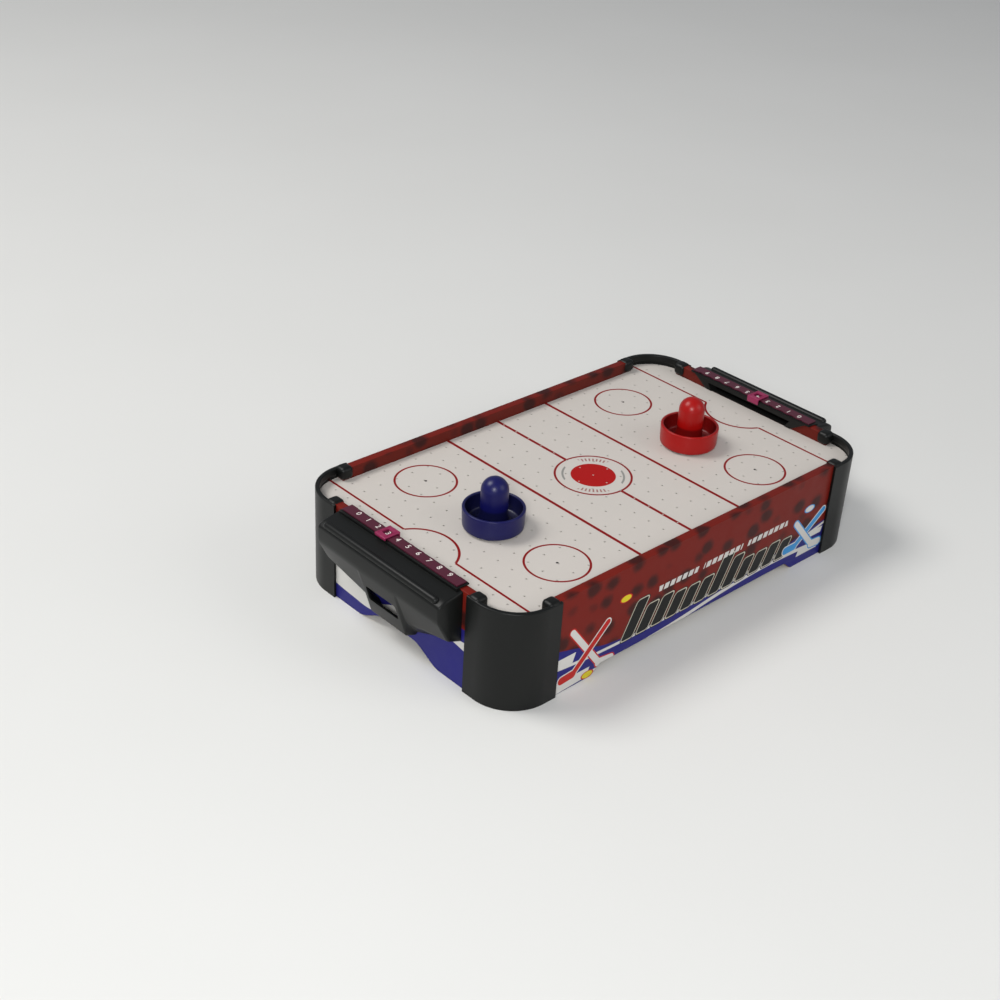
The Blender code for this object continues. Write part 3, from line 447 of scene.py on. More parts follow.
def felt_look():
    """Pressed felt: matted fibres, a soft sheen and a nap."""
    look = Look("felt", srgb(70, 70, 72), 0.95, Sheen_Weight=0.5, Sheen_Roughness=0.5)
    fibres = look.noise(0.0004, detail=5.0, rough=0.75)
    tufts = look.noise(0.0018, detail=4.0)
    look.paint(fibres, srgb(118, 117, 116), 0.6)
    look.paint(tufts.math("MULTIPLY_ADD", 2.0, -0.8, clamp=True), srgb(48, 48, 50), 0.5)
    look.bump(fibres * 0.5 + tufts * 0.5, 0.0004)
    return look


def playfield_look():
    """The coated playfield with its printed rink: lines, circles, goal creases and centre disc."""
    look = Look("playfield_print", srgb(204, 197, 190), 0.45, Specular_IOR_Level=0.2)
    x, y, _ = look.axes()
    far_x, far_y = abs(x), abs(y)
    up = look.normal()[2].math("MULTIPLY_ADD", 4.0, -3.0, clamp=True)
    drift = look.noise(0.05, detail=5.0)
    fibre = look.noise(0.0012, detail=3.0)
    look.paint(drift, srgb(194, 189, 182), 0.45)
    look.paint(fibre, srgb(188, 186, 178), 0.25)
    pitch_x, pitch_y = HOLE_PITCH
    # Grey rings round the air holes: painted shade at the holes' rims.
    hole_distance = (x + pitch_x / 2).stripes(pitch_x).hypot((y + pitch_y / 2).stripes(pitch_y))
    look.paint((hole_distance - 1.5 * HOLE_RADIUS).inside(0.0002) * up, srgb(120, 122, 118), 0.6)
    ink, middle = srgb(132, 12, 14), x.hypot(y)
    line, half_ring, goal_x, crease_y = 0.0013, 0.00115, 0.2165, 0.037
    bulge = 0.0235
    crease = (crease_y**2 + bulge**2) / (2 * bulge)
    arc = (far_x - (goal_x + crease - bulge)).hypot(y)
    goal_line = (abs(far_x - goal_x) - line).most(far_y * -1.0 + crease_y)
    goal_arc = (abs(arc - crease) - line).most(far_x - goal_x)
    zone_line = abs(far_x - 0.0705) - 0.0018
    centre_line = (far_x - 0.0018).most(middle * -1.0 + 0.039)
    spot = (far_x - 0.142).hypot(far_y - 0.0938)
    for shape in (goal_line, goal_arc, zone_line, centre_line, abs(middle - 0.039) - half_ring,
                  abs(spot - 0.031) - half_ring):
        look.paint(shape.inside() * up, ink)
    look.paint((middle - 0.023).inside() * up, srgb(166, 8, 6))
    look.paint((spot - 0.0014).inside() * up, srgb(40, 38, 36))
    angle = y.math("ARCTAN2", x)
    ticks = (angle.stripes(pi / 26) - 0.026) * 0.031
    diagonal = x * y
    lettering = ticks.most(abs(middle - 0.0312) - 0.0027).most(diagonal * -40.0 + 0.012)
    look.paint(lettering.inside(0.0003) * up, ink, 0.75)
    arcs = (abs(middle - 0.0312) - 0.0011).most(diagonal * 40.0 + 0.013)
    look.paint(arcs.inside() * up, srgb(120, 122, 118), 0.8)
    scuffs = look.noise(0.02, detail=8.0, stretch=(0.3, 3.0, 1.0), rough=0.8)
    scuffs = scuffs.math("MULTIPLY_ADD", 6.0, -3.7, clamp=True)
    look.paint(scuffs * up, srgb(168, 166, 158), 0.12)
    look.rough(drift * 0.5 + fibre * 0.2 + scuffs * 0.3, 0.2)
    look.bump(fibre, 0.000015)
    return look


BROWN, BLOTCH, BLUE = srgb(114, 24, 12), srgb(42, 14, 12), srgb(34, 32, 116)
WHITE, BLACK, CREAM = srgb(212, 210, 205), srgb(24, 25, 24), srgb(196, 190, 172)
RED, YELLOW, SKY = srgb(184, 34, 28), srgb(214, 198, 40), srgb(62, 146, 208)


def capsule(u, z, start, end, radius):
    """The signed distance to a round-ended bar between two points of a board's face."""
    du, dz = end[0] - start[0], end[1] - start[1]
    along = ((u - start[0]) * du + (z - start[1]) * dz) * (1 / (du * du + dz * dz))
    share = along.math("MULTIPLY", 1.0, clamp=True)
    return (u - start[0] - share * du).hypot(z - start[1] - share * dz) - radius


def stick(look, u, z, grip, heel, toe, fill, rim):
    """A hockey stick: a long shaft and a short blade, with an outline round both."""
    shape = capsule(u, z, grip, heel, 0.0032).least(capsule(u, z, heel, toe, 0.0044))
    look.paint((shape - 0.0013).inside(), rim)
    look.paint(shape.inside(), fill)


def side_print(look, u, z):
    """The long boards' picture: blue and white waves, a band of slanted bars, crossed sticks and pucks."""
    span, tall = BOARD_HIGH.x, BOARD_TOP
    ground = look.curve(u, [(-span, 0.052), (-0.17, 0.042), (-0.12, 0.027), (0.0, 0.025), (0.11, 0.029),
                            (0.16, 0.037), (span, 0.043)], span, tall)
    look.paint((z - ground).inside(0.0004), BLUE)
    for line, thick in (
        ([(-span, 0.002), (-0.12, 0.006), (-0.04, 0.010),
          (0.05, 0.0185), (0.12, 0.0205), (span, 0.014)], 0.0021),
        ([(-span, 0.030), (-0.14, 0.0235), (-0.02, 0.0225),
          (0.06, 0.0245), (0.13, 0.0275), (span, 0.041)], 0.0016),
    ):
        wave = look.curve(u, line, span, tall)
        look.paint((abs(z - wave) - thick).inside(), WHITE)
    slant = u - z * 0.35
    for middle, wide, level, high in ((-0.196, 0.013, 0.033, 0.0052), (-0.176, 0.022, 0.008, 0.0045),
                                      (0.172, 0.010, 0.031, 0.0034), (0.168, 0.017, 0.0145, 0.0042)):
        look.paint((abs(slant - middle) - wide).most(abs(z - level) - high).inside(), WHITE)
    italic, pitch, low, corner = u - z * 0.5, 0.0205, 0.0215, 0.0030
    middle = ((italic * (1 / pitch)).math("FLOOR") + 0.5) * pitch
    tops = [(-span, 0.0), (-0.135, 0.0), (-0.128, 0.062), (-0.112, 0.060), (-0.104, 0.050), (-0.070, 0.050),
            (-0.050, 0.046), (0.006, 0.048), (0.010, 0.060), (0.024, 0.058), (0.034, 0.050), (0.052, 0.044),
            (0.112, 0.043), (0.120, 0.0), (span, 0.0)]
    crest = look.curve(middle, tops, span, tall)
    across = (abs(italic - middle) - 0.0077 + corner).most(0.0)
    upward = (abs(z - (crest + low) * 0.5) - (crest - low) * 0.5 + corner).most(0.0)
    bars = across.hypot(upward) - corner
    shown = (crest * -1.0 + 0.03).inside(0.002)
    look.paint((bars - 0.0020).inside() * shown, BLACK)
    look.paint((bars - 0.0011).inside() * shown, CREAM)
    look.paint(bars.inside() * shown, BLACK)
    dashes = (slant.stripes(0.0086) - 0.0031).most(abs(z - 0.0615) - 0.0031).most(abs(u - 0.034) - 0.096)
    for gap in (-0.004, 0.062):
        dashes = dashes.most(abs(slant - gap + 0.02) * -1.0 + 0.0043)
    look.paint(dashes.inside(), WHITE, 0.95)
    stick(look, u, z, (-0.176, 0.062), (-0.138, 0.012), (-0.122, 0.010), WHITE, RED)
    stick(look, u, z, (-0.130, 0.054), (-0.172, 0.014), (-0.186, 0.013), RED, WHITE)
    for middle, level, rim, tint in ((-0.152, 0.0045, RED, YELLOW), (-0.108, 0.0705, RED, YELLOW)):
        puck = ((u - middle) * 0.5).hypot(z - level) - 0.0034
        look.paint((puck - 0.0008).inside(), rim)
        look.paint(puck.inside(), tint)
    stick(look, u, z, (0.190, 0.056), (0.148, 0.026), (0.134, 0.026), SKY, WHITE)
    stick(look, u, z, (0.146, 0.054), (0.178, 0.018), (0.190, 0.017), WHITE, SKY)
    puck = ((u - 0.165) * 0.5).hypot(z - 0.0655) - 0.0034
    look.paint((puck - 0.0008).inside(), SKY)
    look.paint(puck.inside(), WHITE)


def end_print(look, u, z):
    """The end boards' picture: the same blue and white waves, which the goal box mostly hides."""
    span, tall = END_HIGH.y, BOARD_TOP
    ground = look.curve(u, [(-span, 0.060), (-0.05, 0.054), (0.03, 0.060), (span, 0.066)], span, tall)
    look.paint((z - ground).inside(0.0004), BLUE)
    wave = look.curve(u, [(-span, 0.030), (-0.07, 0.025), (-0.035, 0.022), (0.0, 0.035), (0.05, 0.047),
                          (0.095, 0.0465), (span, 0.047)], span, tall)
    thick = look.curve(u, [(-span, 0.012), (-0.06, 0.0095), (-0.03, 0.006), (0.0, 0.0052), (0.04, 0.0032),
                           (0.085, 0.0035), (span, 0.009)], span, tall)
    look.paint((abs(z - wave) - thick).inside(), WHITE)
    # Black over the goal notch's faces, above the playfield's level.
    mouth_black = (abs(u) - 0.0612).most(z * -1.0 + PLAY_TOP - 0.0006)
    look.paint(mouth_black.inside(), BLACK)


def board_look(name, picture, axis, sign):
    """A fibre board in film: a picture outside, plain blotched brown-red inside, and a bare lower edge."""
    look = Look(name, BROWN, 0.5, Specular_IOR_Level=0.2)
    axes = look.axes()
    u, z = axes[axis] * sign, axes[2]
    haze = look.noise(0.012, detail=3.0)
    spots = look.cells(0.027, stretch=(1.0, 1.0, 1.15), random=0.75)
    spots = (spots + haze * 0.22 - 0.44).inside(0.10)
    look.paint(look.noise(0.06, detail=3.0), srgb(108, 20, 12), 0.6)
    look.paint(spots, BLOTCH, 0.85)
    picture(look, u, z)
    inward = look.normal()[1 - axis] * (sign if axis == 0 else -sign)
    inward = inward.math("MULTIPLY_ADD", 4.0, -1.0, clamp=True)
    look.paint(inward, srgb(96, 24, 14))
    look.paint(inward * spots, BLOTCH, 0.85)
    bare = look.normal()[2].math("MULTIPLY_ADD", -6.0, -1.6, clamp=True)
    look.paint(bare, srgb(150, 118, 78))
    fibres = look.noise(0.0008, detail=4.0, rough=0.7)
    look.paint(bare * fibres, srgb(104, 76, 46), 0.8)
    film = look.noise(0.0009, detail=2.0)
    look.paint(film, srgb(20, 14, 14), 0.10)
    look.rough(haze * 0.7 + film * 0.3, 0.2)
    look.bump(film, 0.00002)
    return look


def hardboard_look():
    """Raw hardboard: brown fibres, with the fine mesh pattern of its press plate."""
    look = Look("hardboard_raw", srgb(118, 86, 58), 0.8)
    x, y, _ = look.axes()
    mesh = (x.stripes(0.0016) - 0.0004).least(y.stripes(0.0016) - 0.0004).inside(0.0002)
    fibres = look.noise(0.0016, detail=6.0, rough=0.75)
    look.paint(fibres, srgb(80, 54, 34), 0.8)
    look.paint(mesh, srgb(70, 48, 31), 0.35)
    look.rough(fibres, 0.15)
    look.bump(mesh * -0.6 + fibres * 0.5, 0.0002)
    return look


# ---------------------------------------------------------------- boards and playfield


def arched(node, axis):
    """A board's face as an outline: flat feet with a smooth arch between, as measured on its CAD node."""
    points = np.array([vertex.co for vertex in frame["nodes"][node].data.vertices])
    along, level = abs(points[:, axis]), points[:, 2]
    half, low = along.max(), level < 0.03
    rise = level[low].max()
    foot = along[level < 1e-4].min()
    flat = along[low & (level > rise - 1e-4)].max()
    curve = [(foot + (flat - foot) * s, rise * (1 - cos(pi * s)) / 2) for s in np.linspace(0.0, 1.0, 25)]
    right = [(half, BOARD_TOP), (half, 0.0), *curve]
    return right + [(-u, z) for u, z in reversed(right)]


def notch(node):
    """The cutter of an end board's goal notch, as measured on its CAD node."""
    points = np.array([vertex.co for vertex in frame["nodes"][node].data.vertices])
    across, level = abs(points[:, 1]), points[:, 2]
    lower = across[(abs(level - PLAY_TOP) < 1e-4)].max()
    upper = across[(level > BOARD_TOP - 1e-4) & (across < GOAL_HIGH.y)].max()
    outline = [(-lower, PLAY_TOP), (lower, PLAY_TOP), (upper, BOARD_TOP)]
    outline += [(2 * upper - lower, 2 * BOARD_TOP - PLAY_TOP), (lower - 2 * upper, 2 * BOARD_TOP - PLAY_TOP)]
    outline += [(-upper, BOARD_TOP)]
    side = 1 if points[:, 0].mean() > 0 else -1
    return prism(outline, side * (END_LOW.x - OVERCUT), side * (END_HIGH.x + OVERCUT), "X")


def make_boards():
    for node, sign in (("front_board", 1), ("rear_board", -1)):
        low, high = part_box(node)
        made = new_object(f"{node}_look", bevelled(prism(arched(node, 0), low.y, high.y, "Y"), BOARD_EDGE))
        if node == "rear_board":
            depth, margin = through(low.y, high.y), SWITCH_LIP - GAP
            round_hole = prism(circle(INLET_HOLE, 32, (INLET.x, INLET.z)), *depth, "Y")
            wide = (SWITCH_LOW.x + margin, SWITCH_HIGH.x - margin)
            tall = (SWITCH_LOW.z + margin, SWITCH_HIGH.z - margin)
            combine(made, ("DIFFERENCE", joined([round_hole, box(wide, depth, tall)])))
        stand_for(node, made, board_look(f"print_{node}", side_print, 0, sign), smooth=30)
    for node, sign in (("left_end_board", -1), ("right_end_board", 1)):
        low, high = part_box(node)
        made = new_object(f"{node}_look", bevelled(prism(arched(node, 1), low.x, high.x, "X"), BOARD_EDGE))
        combine(made, ("DIFFERENCE", notch(node)))
        stand_for(node, made, board_look(f"print_{node}", end_print, 1, sign), smooth=30)


def top_outline(node):
    """The outline of a CAD plate, in order, from the free edges of its top face."""
    mesh = bmesh.new()
    mesh.from_mesh(frame["nodes"][node].data)
    bmesh.ops.remove_doubles(mesh, verts=mesh.verts, dist=1e-6)
    top = max(vertex.co.z for vertex in mesh.verts)
    flat = {face for face in mesh.faces if all(abs(vertex.co.z - top) < 1e-6 for vertex in face.verts)}
    rim = [edge for edge in mesh.edges if sum(face in flat for face in edge.link_faces) == 1]
    follow = {}
    for edge in rim:
        a, b = edge.verts
        follow.setdefault(a, []).append(b)
        follow.setdefault(b, []).append(a)
    start = max(follow, key=lambda vertex: vertex.co.x + vertex.co.y)
    loop, last, here = [], None, start
    while not loop or here is not start:
        loop.append((here.co.x, here.co.y))
        onward = [vertex for vertex in follow[here] if vertex is not last]
        last, here = here, onward[0]
    mesh.free()
    return loop


def holed_plate(outline, centres, radius, low, high, steps=12):
    """A flat plate with round holes through it."""
    rings = [[Vector(point) for point in outline]]
    wide = radius * 1.25
    rings += [[Vector(point) for point in circle(wide, steps, centre)] for centre in centres]
    points = [point for ring in rings for point in ring]
    edges, first = [], 0
    for ring in rings:
        edges += [(first + i, first + (i + 1) % len(ring)) for i in range(len(ring))]
        first += len(ring)
    flat, _, faces, *_ = delaunay_2d_cdt(points, edges, [], 1, 1e-7)
    spots = np.array(centres)
    kept = []
    for face in faces:
        middle = sum((flat[i] for i in face), Vector((0.0, 0.0))) / len(face)
        nearest = np.hypot(*(spots - np.array(middle)).T).min()
        if nearest > 0.9 * wide:
            kept.append(face)
    mesh = bmesh.new()
    top = [mesh.verts.new((x, y, high)) for x, y in flat]
    for face in kept:
        mesh.faces.new([top[i] for i in face])
    rims = [edge for edge in mesh.edges if edge.is_boundary]
    bottom = bmesh.ops.duplicate(mesh, geom=mesh.verts[:] + mesh.edges[:] + mesh.faces[:])
    lower = [item for item in bottom["geom"] if isinstance(item, bmesh.types.BMVert)]
    for vertex in lower:
        vertex.co.z = low
    bmesh.ops.reverse_faces(mesh, faces=[f for f in bottom["geom"] if isinstance(f, bmesh.types.BMFace)])
    twin = bottom["vert_map"]
    for edge in rims:
        a, b = edge.verts
        mesh.faces.new([a, b, twin[b], twin[a]])
    bmesh.ops.recalc_face_normals(mesh, faces=mesh.faces)
    return mesh


def make_playfield():
    pitch_x, pitch_y = HOLE_PITCH
    centres = [(pitch_x * i, pitch_y * j)
               for i in range(-HOLE_COUNT[0], HOLE_COUNT[0] + 1)
               for j in range(-HOLE_COUNT[1], HOLE_COUNT[1] + 1)]
    mesh = holed_plate(top_outline("playfield_board"), centres, HOLE_RADIUS, DECK_LOW.z, DECK_HIGH.z)
    stand_for("playfield_board", mesh, playfield_look(), smooth=20)


# ---------------------------------------------------------------- corner caps


def cap_wall():
    """The curved wall of the +X +Y cap, swept from arm end to arm end, with a thicker rounded rim."""
    arm = CAP_HIGH.x - CAP_LOW.x
    centre = (HALF_LENGTH - CAP_RADIUS, HALF_WIDTH - CAP_RADIUS)
    stations = [((HALF_LENGTH, HALF_WIDTH - arm), 0.0)]
    stations += [((centre[0] + CAP_RADIUS * cos(a), centre[1] + CAP_RADIUS * sin(a)), a)
                 for a in np.linspace(0.0, pi / 2, 33)]
    stations += [((HALF_LENGTH - arm, HALF_WIDTH), pi / 2)]
    top, neck = BOARD_TOP, BOARD_TOP - 0.0065
    profile = [(0.0, 0.0), (0.0, top), (CAP_RIM, top)]
    profile += [(CAP_RIM, neck), (CAP_WALL, neck - 0.003), (CAP_WALL, 0.0)]
    profile = rounded(profile, (0.0005, 0.0016, 0.0013, 0.001, 0.0015, 0.0005))
    sections = [[(x - u * cos(a), y - u * sin(a), z) for u, z in profile] for (x, y), a in stations]
    return loft(sections)


def clip_block(along, depth, levels, axis, width):
    """A rounded block of a clip. along and depth are distances in from the end and from the outer face."""
    in_x, in_y = (along, depth) if axis == "X" else (depth, along)
    x = [HALF_LENGTH - reach for reach in in_x]
    y = [HALF_WIDTH - reach for reach in in_y]
    mesh = box(x, y, levels)
    return bevelled(mesh, width, 8) if width else mesh


def make_caps(look):
    """Four moulded corners: the curved wall, and at both its ends a clip that holds a board."""
    arm = CAP_HIGH.x - CAP_LOW.x
    far = arm - CLIP_LENGTH
    depth = HALF_WIDTH - BOARD_LOW.y + GAP + CAP_WALL
    slot = (CAP_WALL + 0.5 * GAP, HALF_WIDTH - BOARD_LOW.y + GAP)
    chamber = (FLOOR_BOARD_HIGH.z + GAP, DECK_LOW.z - GAP)
    for side, sy in (("front", -1), ("rear", 1)):
        for end, sx in (("left", -1), ("right", 1)):
            turn = Matrix.Diagonal((sx, sy, 1, 1))
            node = f"corner_cap_{side}_{end}"
            made = new_object(f"{node}_look", placed(cap_wall(), turn))
            steps = []
            for axis in "XY":
                boss = clip_block((far, arm), (0.00005, depth), (PLAY_TOP + GAP, CAP_HIGH.z), axis, 0.0046)
                reach = (far + 0.0002, arm - 0.0002)
                leg = clip_block(reach, (depth - CAP_WALL, depth - 0.0001), chamber, axis, 0.0)
                stop = clip_block((far, far + CAP_WALL), (0.001, depth), chamber, axis, 0.0)
                levels = (-OVERCUT, BOARD_TOP + GAP)
                hollow = clip_block((far + CAP_WALL, arm + OVERCUT), slot, levels, axis, 0.0)
                steps += [("UNION", placed(boss, turn)), ("UNION", placed(stop, turn))]
                steps += [("DIFFERENCE", placed(hollow, turn)), ("UNION", placed(leg, turn))]
            combine(made, *steps)
            stand_for(node, made, look)


# ---------------------------------------------------------------- goal boxes


def goal_section(across, inset, front_low, back_low, skin=0.0, soft=True):
    """A section of the goal box at one distance from its middle. skin shrinks it, all but its back."""
    back, edge = END_HIGH.x + GAP, GOAL_HIGH.x - skin
    roof = BOARD_TOP - 0.0006 - skin
    profile = [(back, roof), (edge - 0.0066, BOARD_TOP - 0.0042 - skin)]
    profile += [(edge, BOARD_TOP - 0.0080 - skin / 2), (edge, BOARD_TOP - 0.025)]
    profile += [(edge - inset, front_low + skin), (back, back_low + skin)]
    if soft:
        profile = rounded(profile, (0.0, 0.003, 0.0025, 0.004, 0.003, 0.0), steps=4)
    return [(x, across, z) for x, z in profile]


def goal_shell(skin, soft):
    """The goal box's body: a deep catch tray in the middle, shallower to both ends."""
    end, tray, shoulder = GOAL_HIGH.y - skin, 0.0245 - skin, 0.030 - skin
    half = []
    rounds = ((0.0, 0.0018), (0.0006, 0.0008), (0.0014, 0.0002), (0.0025, 0.0)) if soft else ((0.0, 0.0),)
    for step, shrink in rounds:
        half.append(goal_section(end - step, 0.012, 0.056, 0.050, skin + shrink, soft))
    for share in np.linspace(0.0, 1.0, 9 if soft else 2):
        smooth = share * share * (3 - 2 * share) if soft else share
        across = shoulder + (tray - shoulder) * share
        inset = 0.013 + 0.003 * smooth
        front_low, back_low = 0.045 - 0.019 * smooth, 0.028 - 0.006 * smooth
        half.append(goal_section(across, inset, front_low, back_low, skin, soft))
    mirrored = [[(x, -y, z) for x, y, z in section] for section in reversed(half)]
    return loft(half + mirrored)


def make_goal(node, side, look):
    """A goal box: its body, its score rail, the goal mouth's frame, and a raised bead."""
    turn = Matrix.Diagonal((side, 1, 1, 1))
    made = new_object(f"{node}_look", placed(goal_shell(0.0, True), turn))
    hollow = goal_shell(GOAL_WALL, False)
    for vertex in hollow.verts:
        if vertex.co.x < END_HIGH.x + 2 * GAP:
            vertex.co.x -= 0.004
    rail_y, rail_low = GOAL_HIGH.y - 0.004, BOARD_TOP + GAP
    across = (-rail_y, rail_y)
    rail = bevelled(box((GOAL_LOW.x, STRIP_HIGH.x + 0.0022), across, (rail_low, GOAL_HIGH.z)), 0.0005, 2)
    web = box((END_HIGH.x + GAP, STRIP_HIGH.x + 0.002), across, (rail_low - 0.004, GOAL_HIGH.z - 0.0008))
    mouth, sill = 0.052, PLAY_TOP + 0.0085
    mouth_top = mouth + 0.008 * 0.0085 / 0.012
    frame_half = [(mouth_top, sill), (mouth, PLAY_TOP + GAP), (mouth + 0.008, PLAY_TOP + GAP),
                  (mouth + 0.028, GOAL_HIGH.z - 0.0005)]
    outline = frame_half + [(-y, z) for y, z in reversed(frame_half)]
    flange = bevelled(prism(outline, GOAL_LOW.x, GOAL_LOW.x + 0.0014, "X"), 0.0004, 2)
    bead_y, bead_r = 0.0775, 0.0038
    bead = turned([(0.0, -bead_y - bead_r)]
                  + [(bead_r * sin(a), -bead_y - bead_r * cos(a)) for a in np.linspace(0.2, pi / 2, 6)]
                  + [(bead_r * sin(a), bead_y - bead_r * cos(a)) for a in np.linspace(pi / 2, pi - 0.2, 6)]
                  + [(0.0, bead_y + bead_r)], 20)
    bead = placed(bead, Matrix.Translation((GOAL_HIGH.x - 0.0044, 0.0, BOARD_TOP - 0.0056))
                  @ Matrix.Rotation(pi / 2, 4, "X"))
    window = rounded([(-0.0215, 0.0445), (0.0215, 0.0445), (0.0215, 0.0615), (-0.0215, 0.0615)], 0.003)
    opening = prism(window, END_HIGH.x + 0.0026, GOAL_HIGH.x + 0.005, "X")
    blocks = [box((END_HIGH.x + GAP, END_HIGH.x + 0.0103), (y - 0.006, y + 0.006), (0.0595, 0.0685))
              for y in (-0.0799, 0.0799)]
    added = [("UNION", placed(mesh, turn)) for mesh in (web, rail, flange, bead, joined(blocks))]
    combine(made, ("DIFFERENCE", placed(hollow, turn)), *added, ("DIFFERENCE", placed(opening, turn)))
    stand_for(node, made, look, smooth=32)


# ---------------------------------------------------------------- score strips


def make_score(end, side, strip_look, ink_look, marker_look):
    """A scalloped score strip with ten raised digits, and the slider that frames one of them."""
    turn = Matrix.Diagonal((side, 1, 1, 1))
    node = f"score_strip_{end}"
    low, high = STRIP_LOW, STRIP_HIGH
    pitch, first = 0.0145, 0.06525
    steps = np.linspace(-high.y, high.y, 241)
    scallop = [0.0011 * (1 + cos(2 * pi * y / pitch)) / 2 * (abs(y) < first + pitch / 2) for y in steps]
    inner = [(low.x + depth, y) for depth, y in zip(scallop, steps)]
    outline = inner + [(high.x, high.y), (high.x, -high.y)]
    strip = prism(outline, low.z, high.z)
    stand_for(node, placed(strip, turn), strip_look)
    digits = []
    for value in range(10):
        text = bpy.data.curves.new("digit", "FONT")
        text.body, text.size, text.extrude = str(value), 0.0082, 0.00008
        text.align_x, text.align_y = "CENTER", "CENTER"
        made = bpy.data.objects.new("digit", text)
        bpy.context.scene.collection.objects.link(made)
        bpy.context.view_layer.update()
        data = bpy.data.meshes.new_from_object(made.evaluated_get(bpy.context.evaluated_depsgraph_get()))
        mesh = bmesh.new()
        mesh.from_mesh(data)
        bmesh.ops.remove_doubles(mesh, verts=mesh.verts, dist=1e-6)
        across = (first - pitch * value) * -side
        spot = Matrix.Translation((side * (low.x + high.x) / 2 - side * 0.0006, across, high.z + 0.00009))
        digits.append(placed(mesh, spot @ Matrix.Rotation(side * pi / 2, 4, "Z")))
        bpy.data.objects.remove(made)
    finish_piece(new_object(f"score_digits_{end}", joined(digits)), ink_look, node)
    node = f"score_marker_{end}"
    low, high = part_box(node)
    wall, middle = 0.0015, (low.y + high.y) / 2
    x0, x1 = sorted((abs(low.x), abs(high.x)))
    rail = GOAL_HIGH.z + GAP
    arch = [(x0, low.z), (x0, high.z), (x1, high.z), (x1, rail)]
    arch += [(x1 - wall, rail), (x1 - wall, high.z - wall), (x0 + wall, high.z - wall), (x0 + wall, low.z)]
    mesh = bevelled(prism(arch, low.y, high.y, "Y"), 0.00045, 3)
    made = new_object(f"{node}_look", placed(mesh, turn))
    window = rounded([(-0.004, -0.004), (0.004, -0.004), (0.004, 0.004), (-0.004, 0.004)], 0.0012)
    window = [((x0 + x1) / 2 + x, middle + y) for x, y in window]
    opening = prism(window, *through(high.z, high.z))
    grooves = [box((x0 + 0.002, x1 - 0.002), (y - 0.0004, y + 0.0004), (high.z - 0.0002, high.z + 0.00038))
               for y in (low.y + 0.0014, low.y + 0.0026, high.y - 0.0026, high.y - 0.0014)]
    combine(made, ("DIFFERENCE", placed(opening, turn)), ("DIFFERENCE", placed(joined(grooves), turn)))
    stand_for(node, made, marker_look)


# ---------------------------------------------------------------- strikers and puck


def make_striker(node, look, shade, felt):
    """A striker on its felt: a dished base with a flared wall and a rolled rim, and a round-topped post."""
    low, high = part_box(node)
    centre = (low + high) / 2
    wide, tall = (high.x - low.x) / 2, high.z - low.z
    foot, knob, floor, wall_top, wall = wide - 0.001, 0.0135, 0.0045, 0.0215, 0.003
    dome = [(knob * sin(a), tall - knob * (1 - cos(a))) for a in np.linspace(0.0, pi / 2, 13)]
    profile = dome[1:] + [(knob, floor + 0.010), (knob + 0.0012, floor + 0.004), (knob + 0.0045, floor)]
    profile += [(foot - wall, floor), (wide - wall, wall_top), (wide, wall_top), (foot + 0.0004, 0.0042)]
    profile += [(foot, 0.0012), (foot - 0.0015, 0.0)]
    radii = [0.0] * 11 + [0.0, 0.004, 0.005, 0.003, 0.003, 0.0012, 0.0014, 0.002, 0.001, 0.0008]
    profile = rounded([(0.0, tall)] + profile + [(0.0, 0.0)], [0.0, *radii, 0.0], steps=5, closed=False)
    mesh = placed(turned(profile, 96), Matrix.Translation((centre.x, centre.y, low.z)))
    # Painted shade inside the dish, from its floor up to just under the rim.
    deepen(look, centre, wide - 0.0017, (low.z + 0.003, low.z + wall_top - 0.0004), shade, 0.72)
    stand_for(node, mesh, look)
    low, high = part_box(f"{node}_felt")
    radius = (high.x - low.x) / 2
    profile = [(0.0, high.z), (radius - 0.0003, high.z), (radius, high.z - 0.0003), (radius, low.z + 0.0003)]
    profile += [(radius - 0.0003, low.z), (0.0, low.z)]
    spot = Matrix.Translation((centre.x, centre.y, 0.0))
    pad = stand_for(f"{node}_felt", placed(turned(profile, 64), spot), felt)


def make_puck(look):
    """The puck, on edge in the catch tray: a thin disc with rounded edges and a raised ring on both faces."""
    low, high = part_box("puck")
    radius, half = (high.y - low.y) / 2, (high.x - low.x) / 2
    top = [(0.0, half - 0.0005), (0.45 * radius, half - 0.0005), (0.5 * radius, half)]
    top += [(radius - 0.0012, half), (radius - 0.0003, half - 0.0004), (radius, half - 0.0012)]
    profile = top + [(r, -h) for r, h in reversed(top)]
    spot = Matrix.Translation((low + high) / 2) @ Matrix.Rotation(pi / 2, 4, "Y")
    stand_for("puck", placed(turned(profile, 72), spot), look)


# ---------------------------------------------------------------- underside and rear


def make_screw(node, look):
    """A pan-head screw with a cross recess, its head down."""
    low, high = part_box(node)
    radius, centre = (high.x - low.x) / 2, (low + high) / 2
    head = 0.0018
    profile = [(0.0, 0.0), (0.55 * radius, 0.0002), (0.88 * radius, 0.0007)]
    shank, length = 0.0015, high.z - low.z
    profile += [(radius, head * 0.7), (radius, head), (shank, head), (shank, length - shank), (0.0, length)]
    spot = Matrix.Translation((centre.x, centre.y, low.z))
    made = new_object(f"{node}_look", placed(turned(profile, 36), spot))
    arms = []
    for turn in (0.3, 0.3 + pi / 2):
        arm = box((-0.0018, 0.0018), (-0.00035, 0.00035), (-0.001, 0.0011))
        arms.append(placed(arm, spot @ Matrix.Rotation(turn, 4, "Z")))
    combine(made, *[("DIFFERENCE", arm) for arm in arms])
    stand_for(node, made, look)


def ring_slot(inner, outer, quarter, bar):
    """One curved slot between two rings and two spokes of the grille."""
    start, edges = quarter * pi / 2, []
    for radius in (inner, outer):
        margin = np.arcsin(bar / 2 / radius)
        angles = np.linspace(start + margin, start + pi / 2 - margin, 17)
        edges.append([(radius * cos(a), radius * sin(a)) for a in angles])
    return edges[0] + edges[1][::-1]


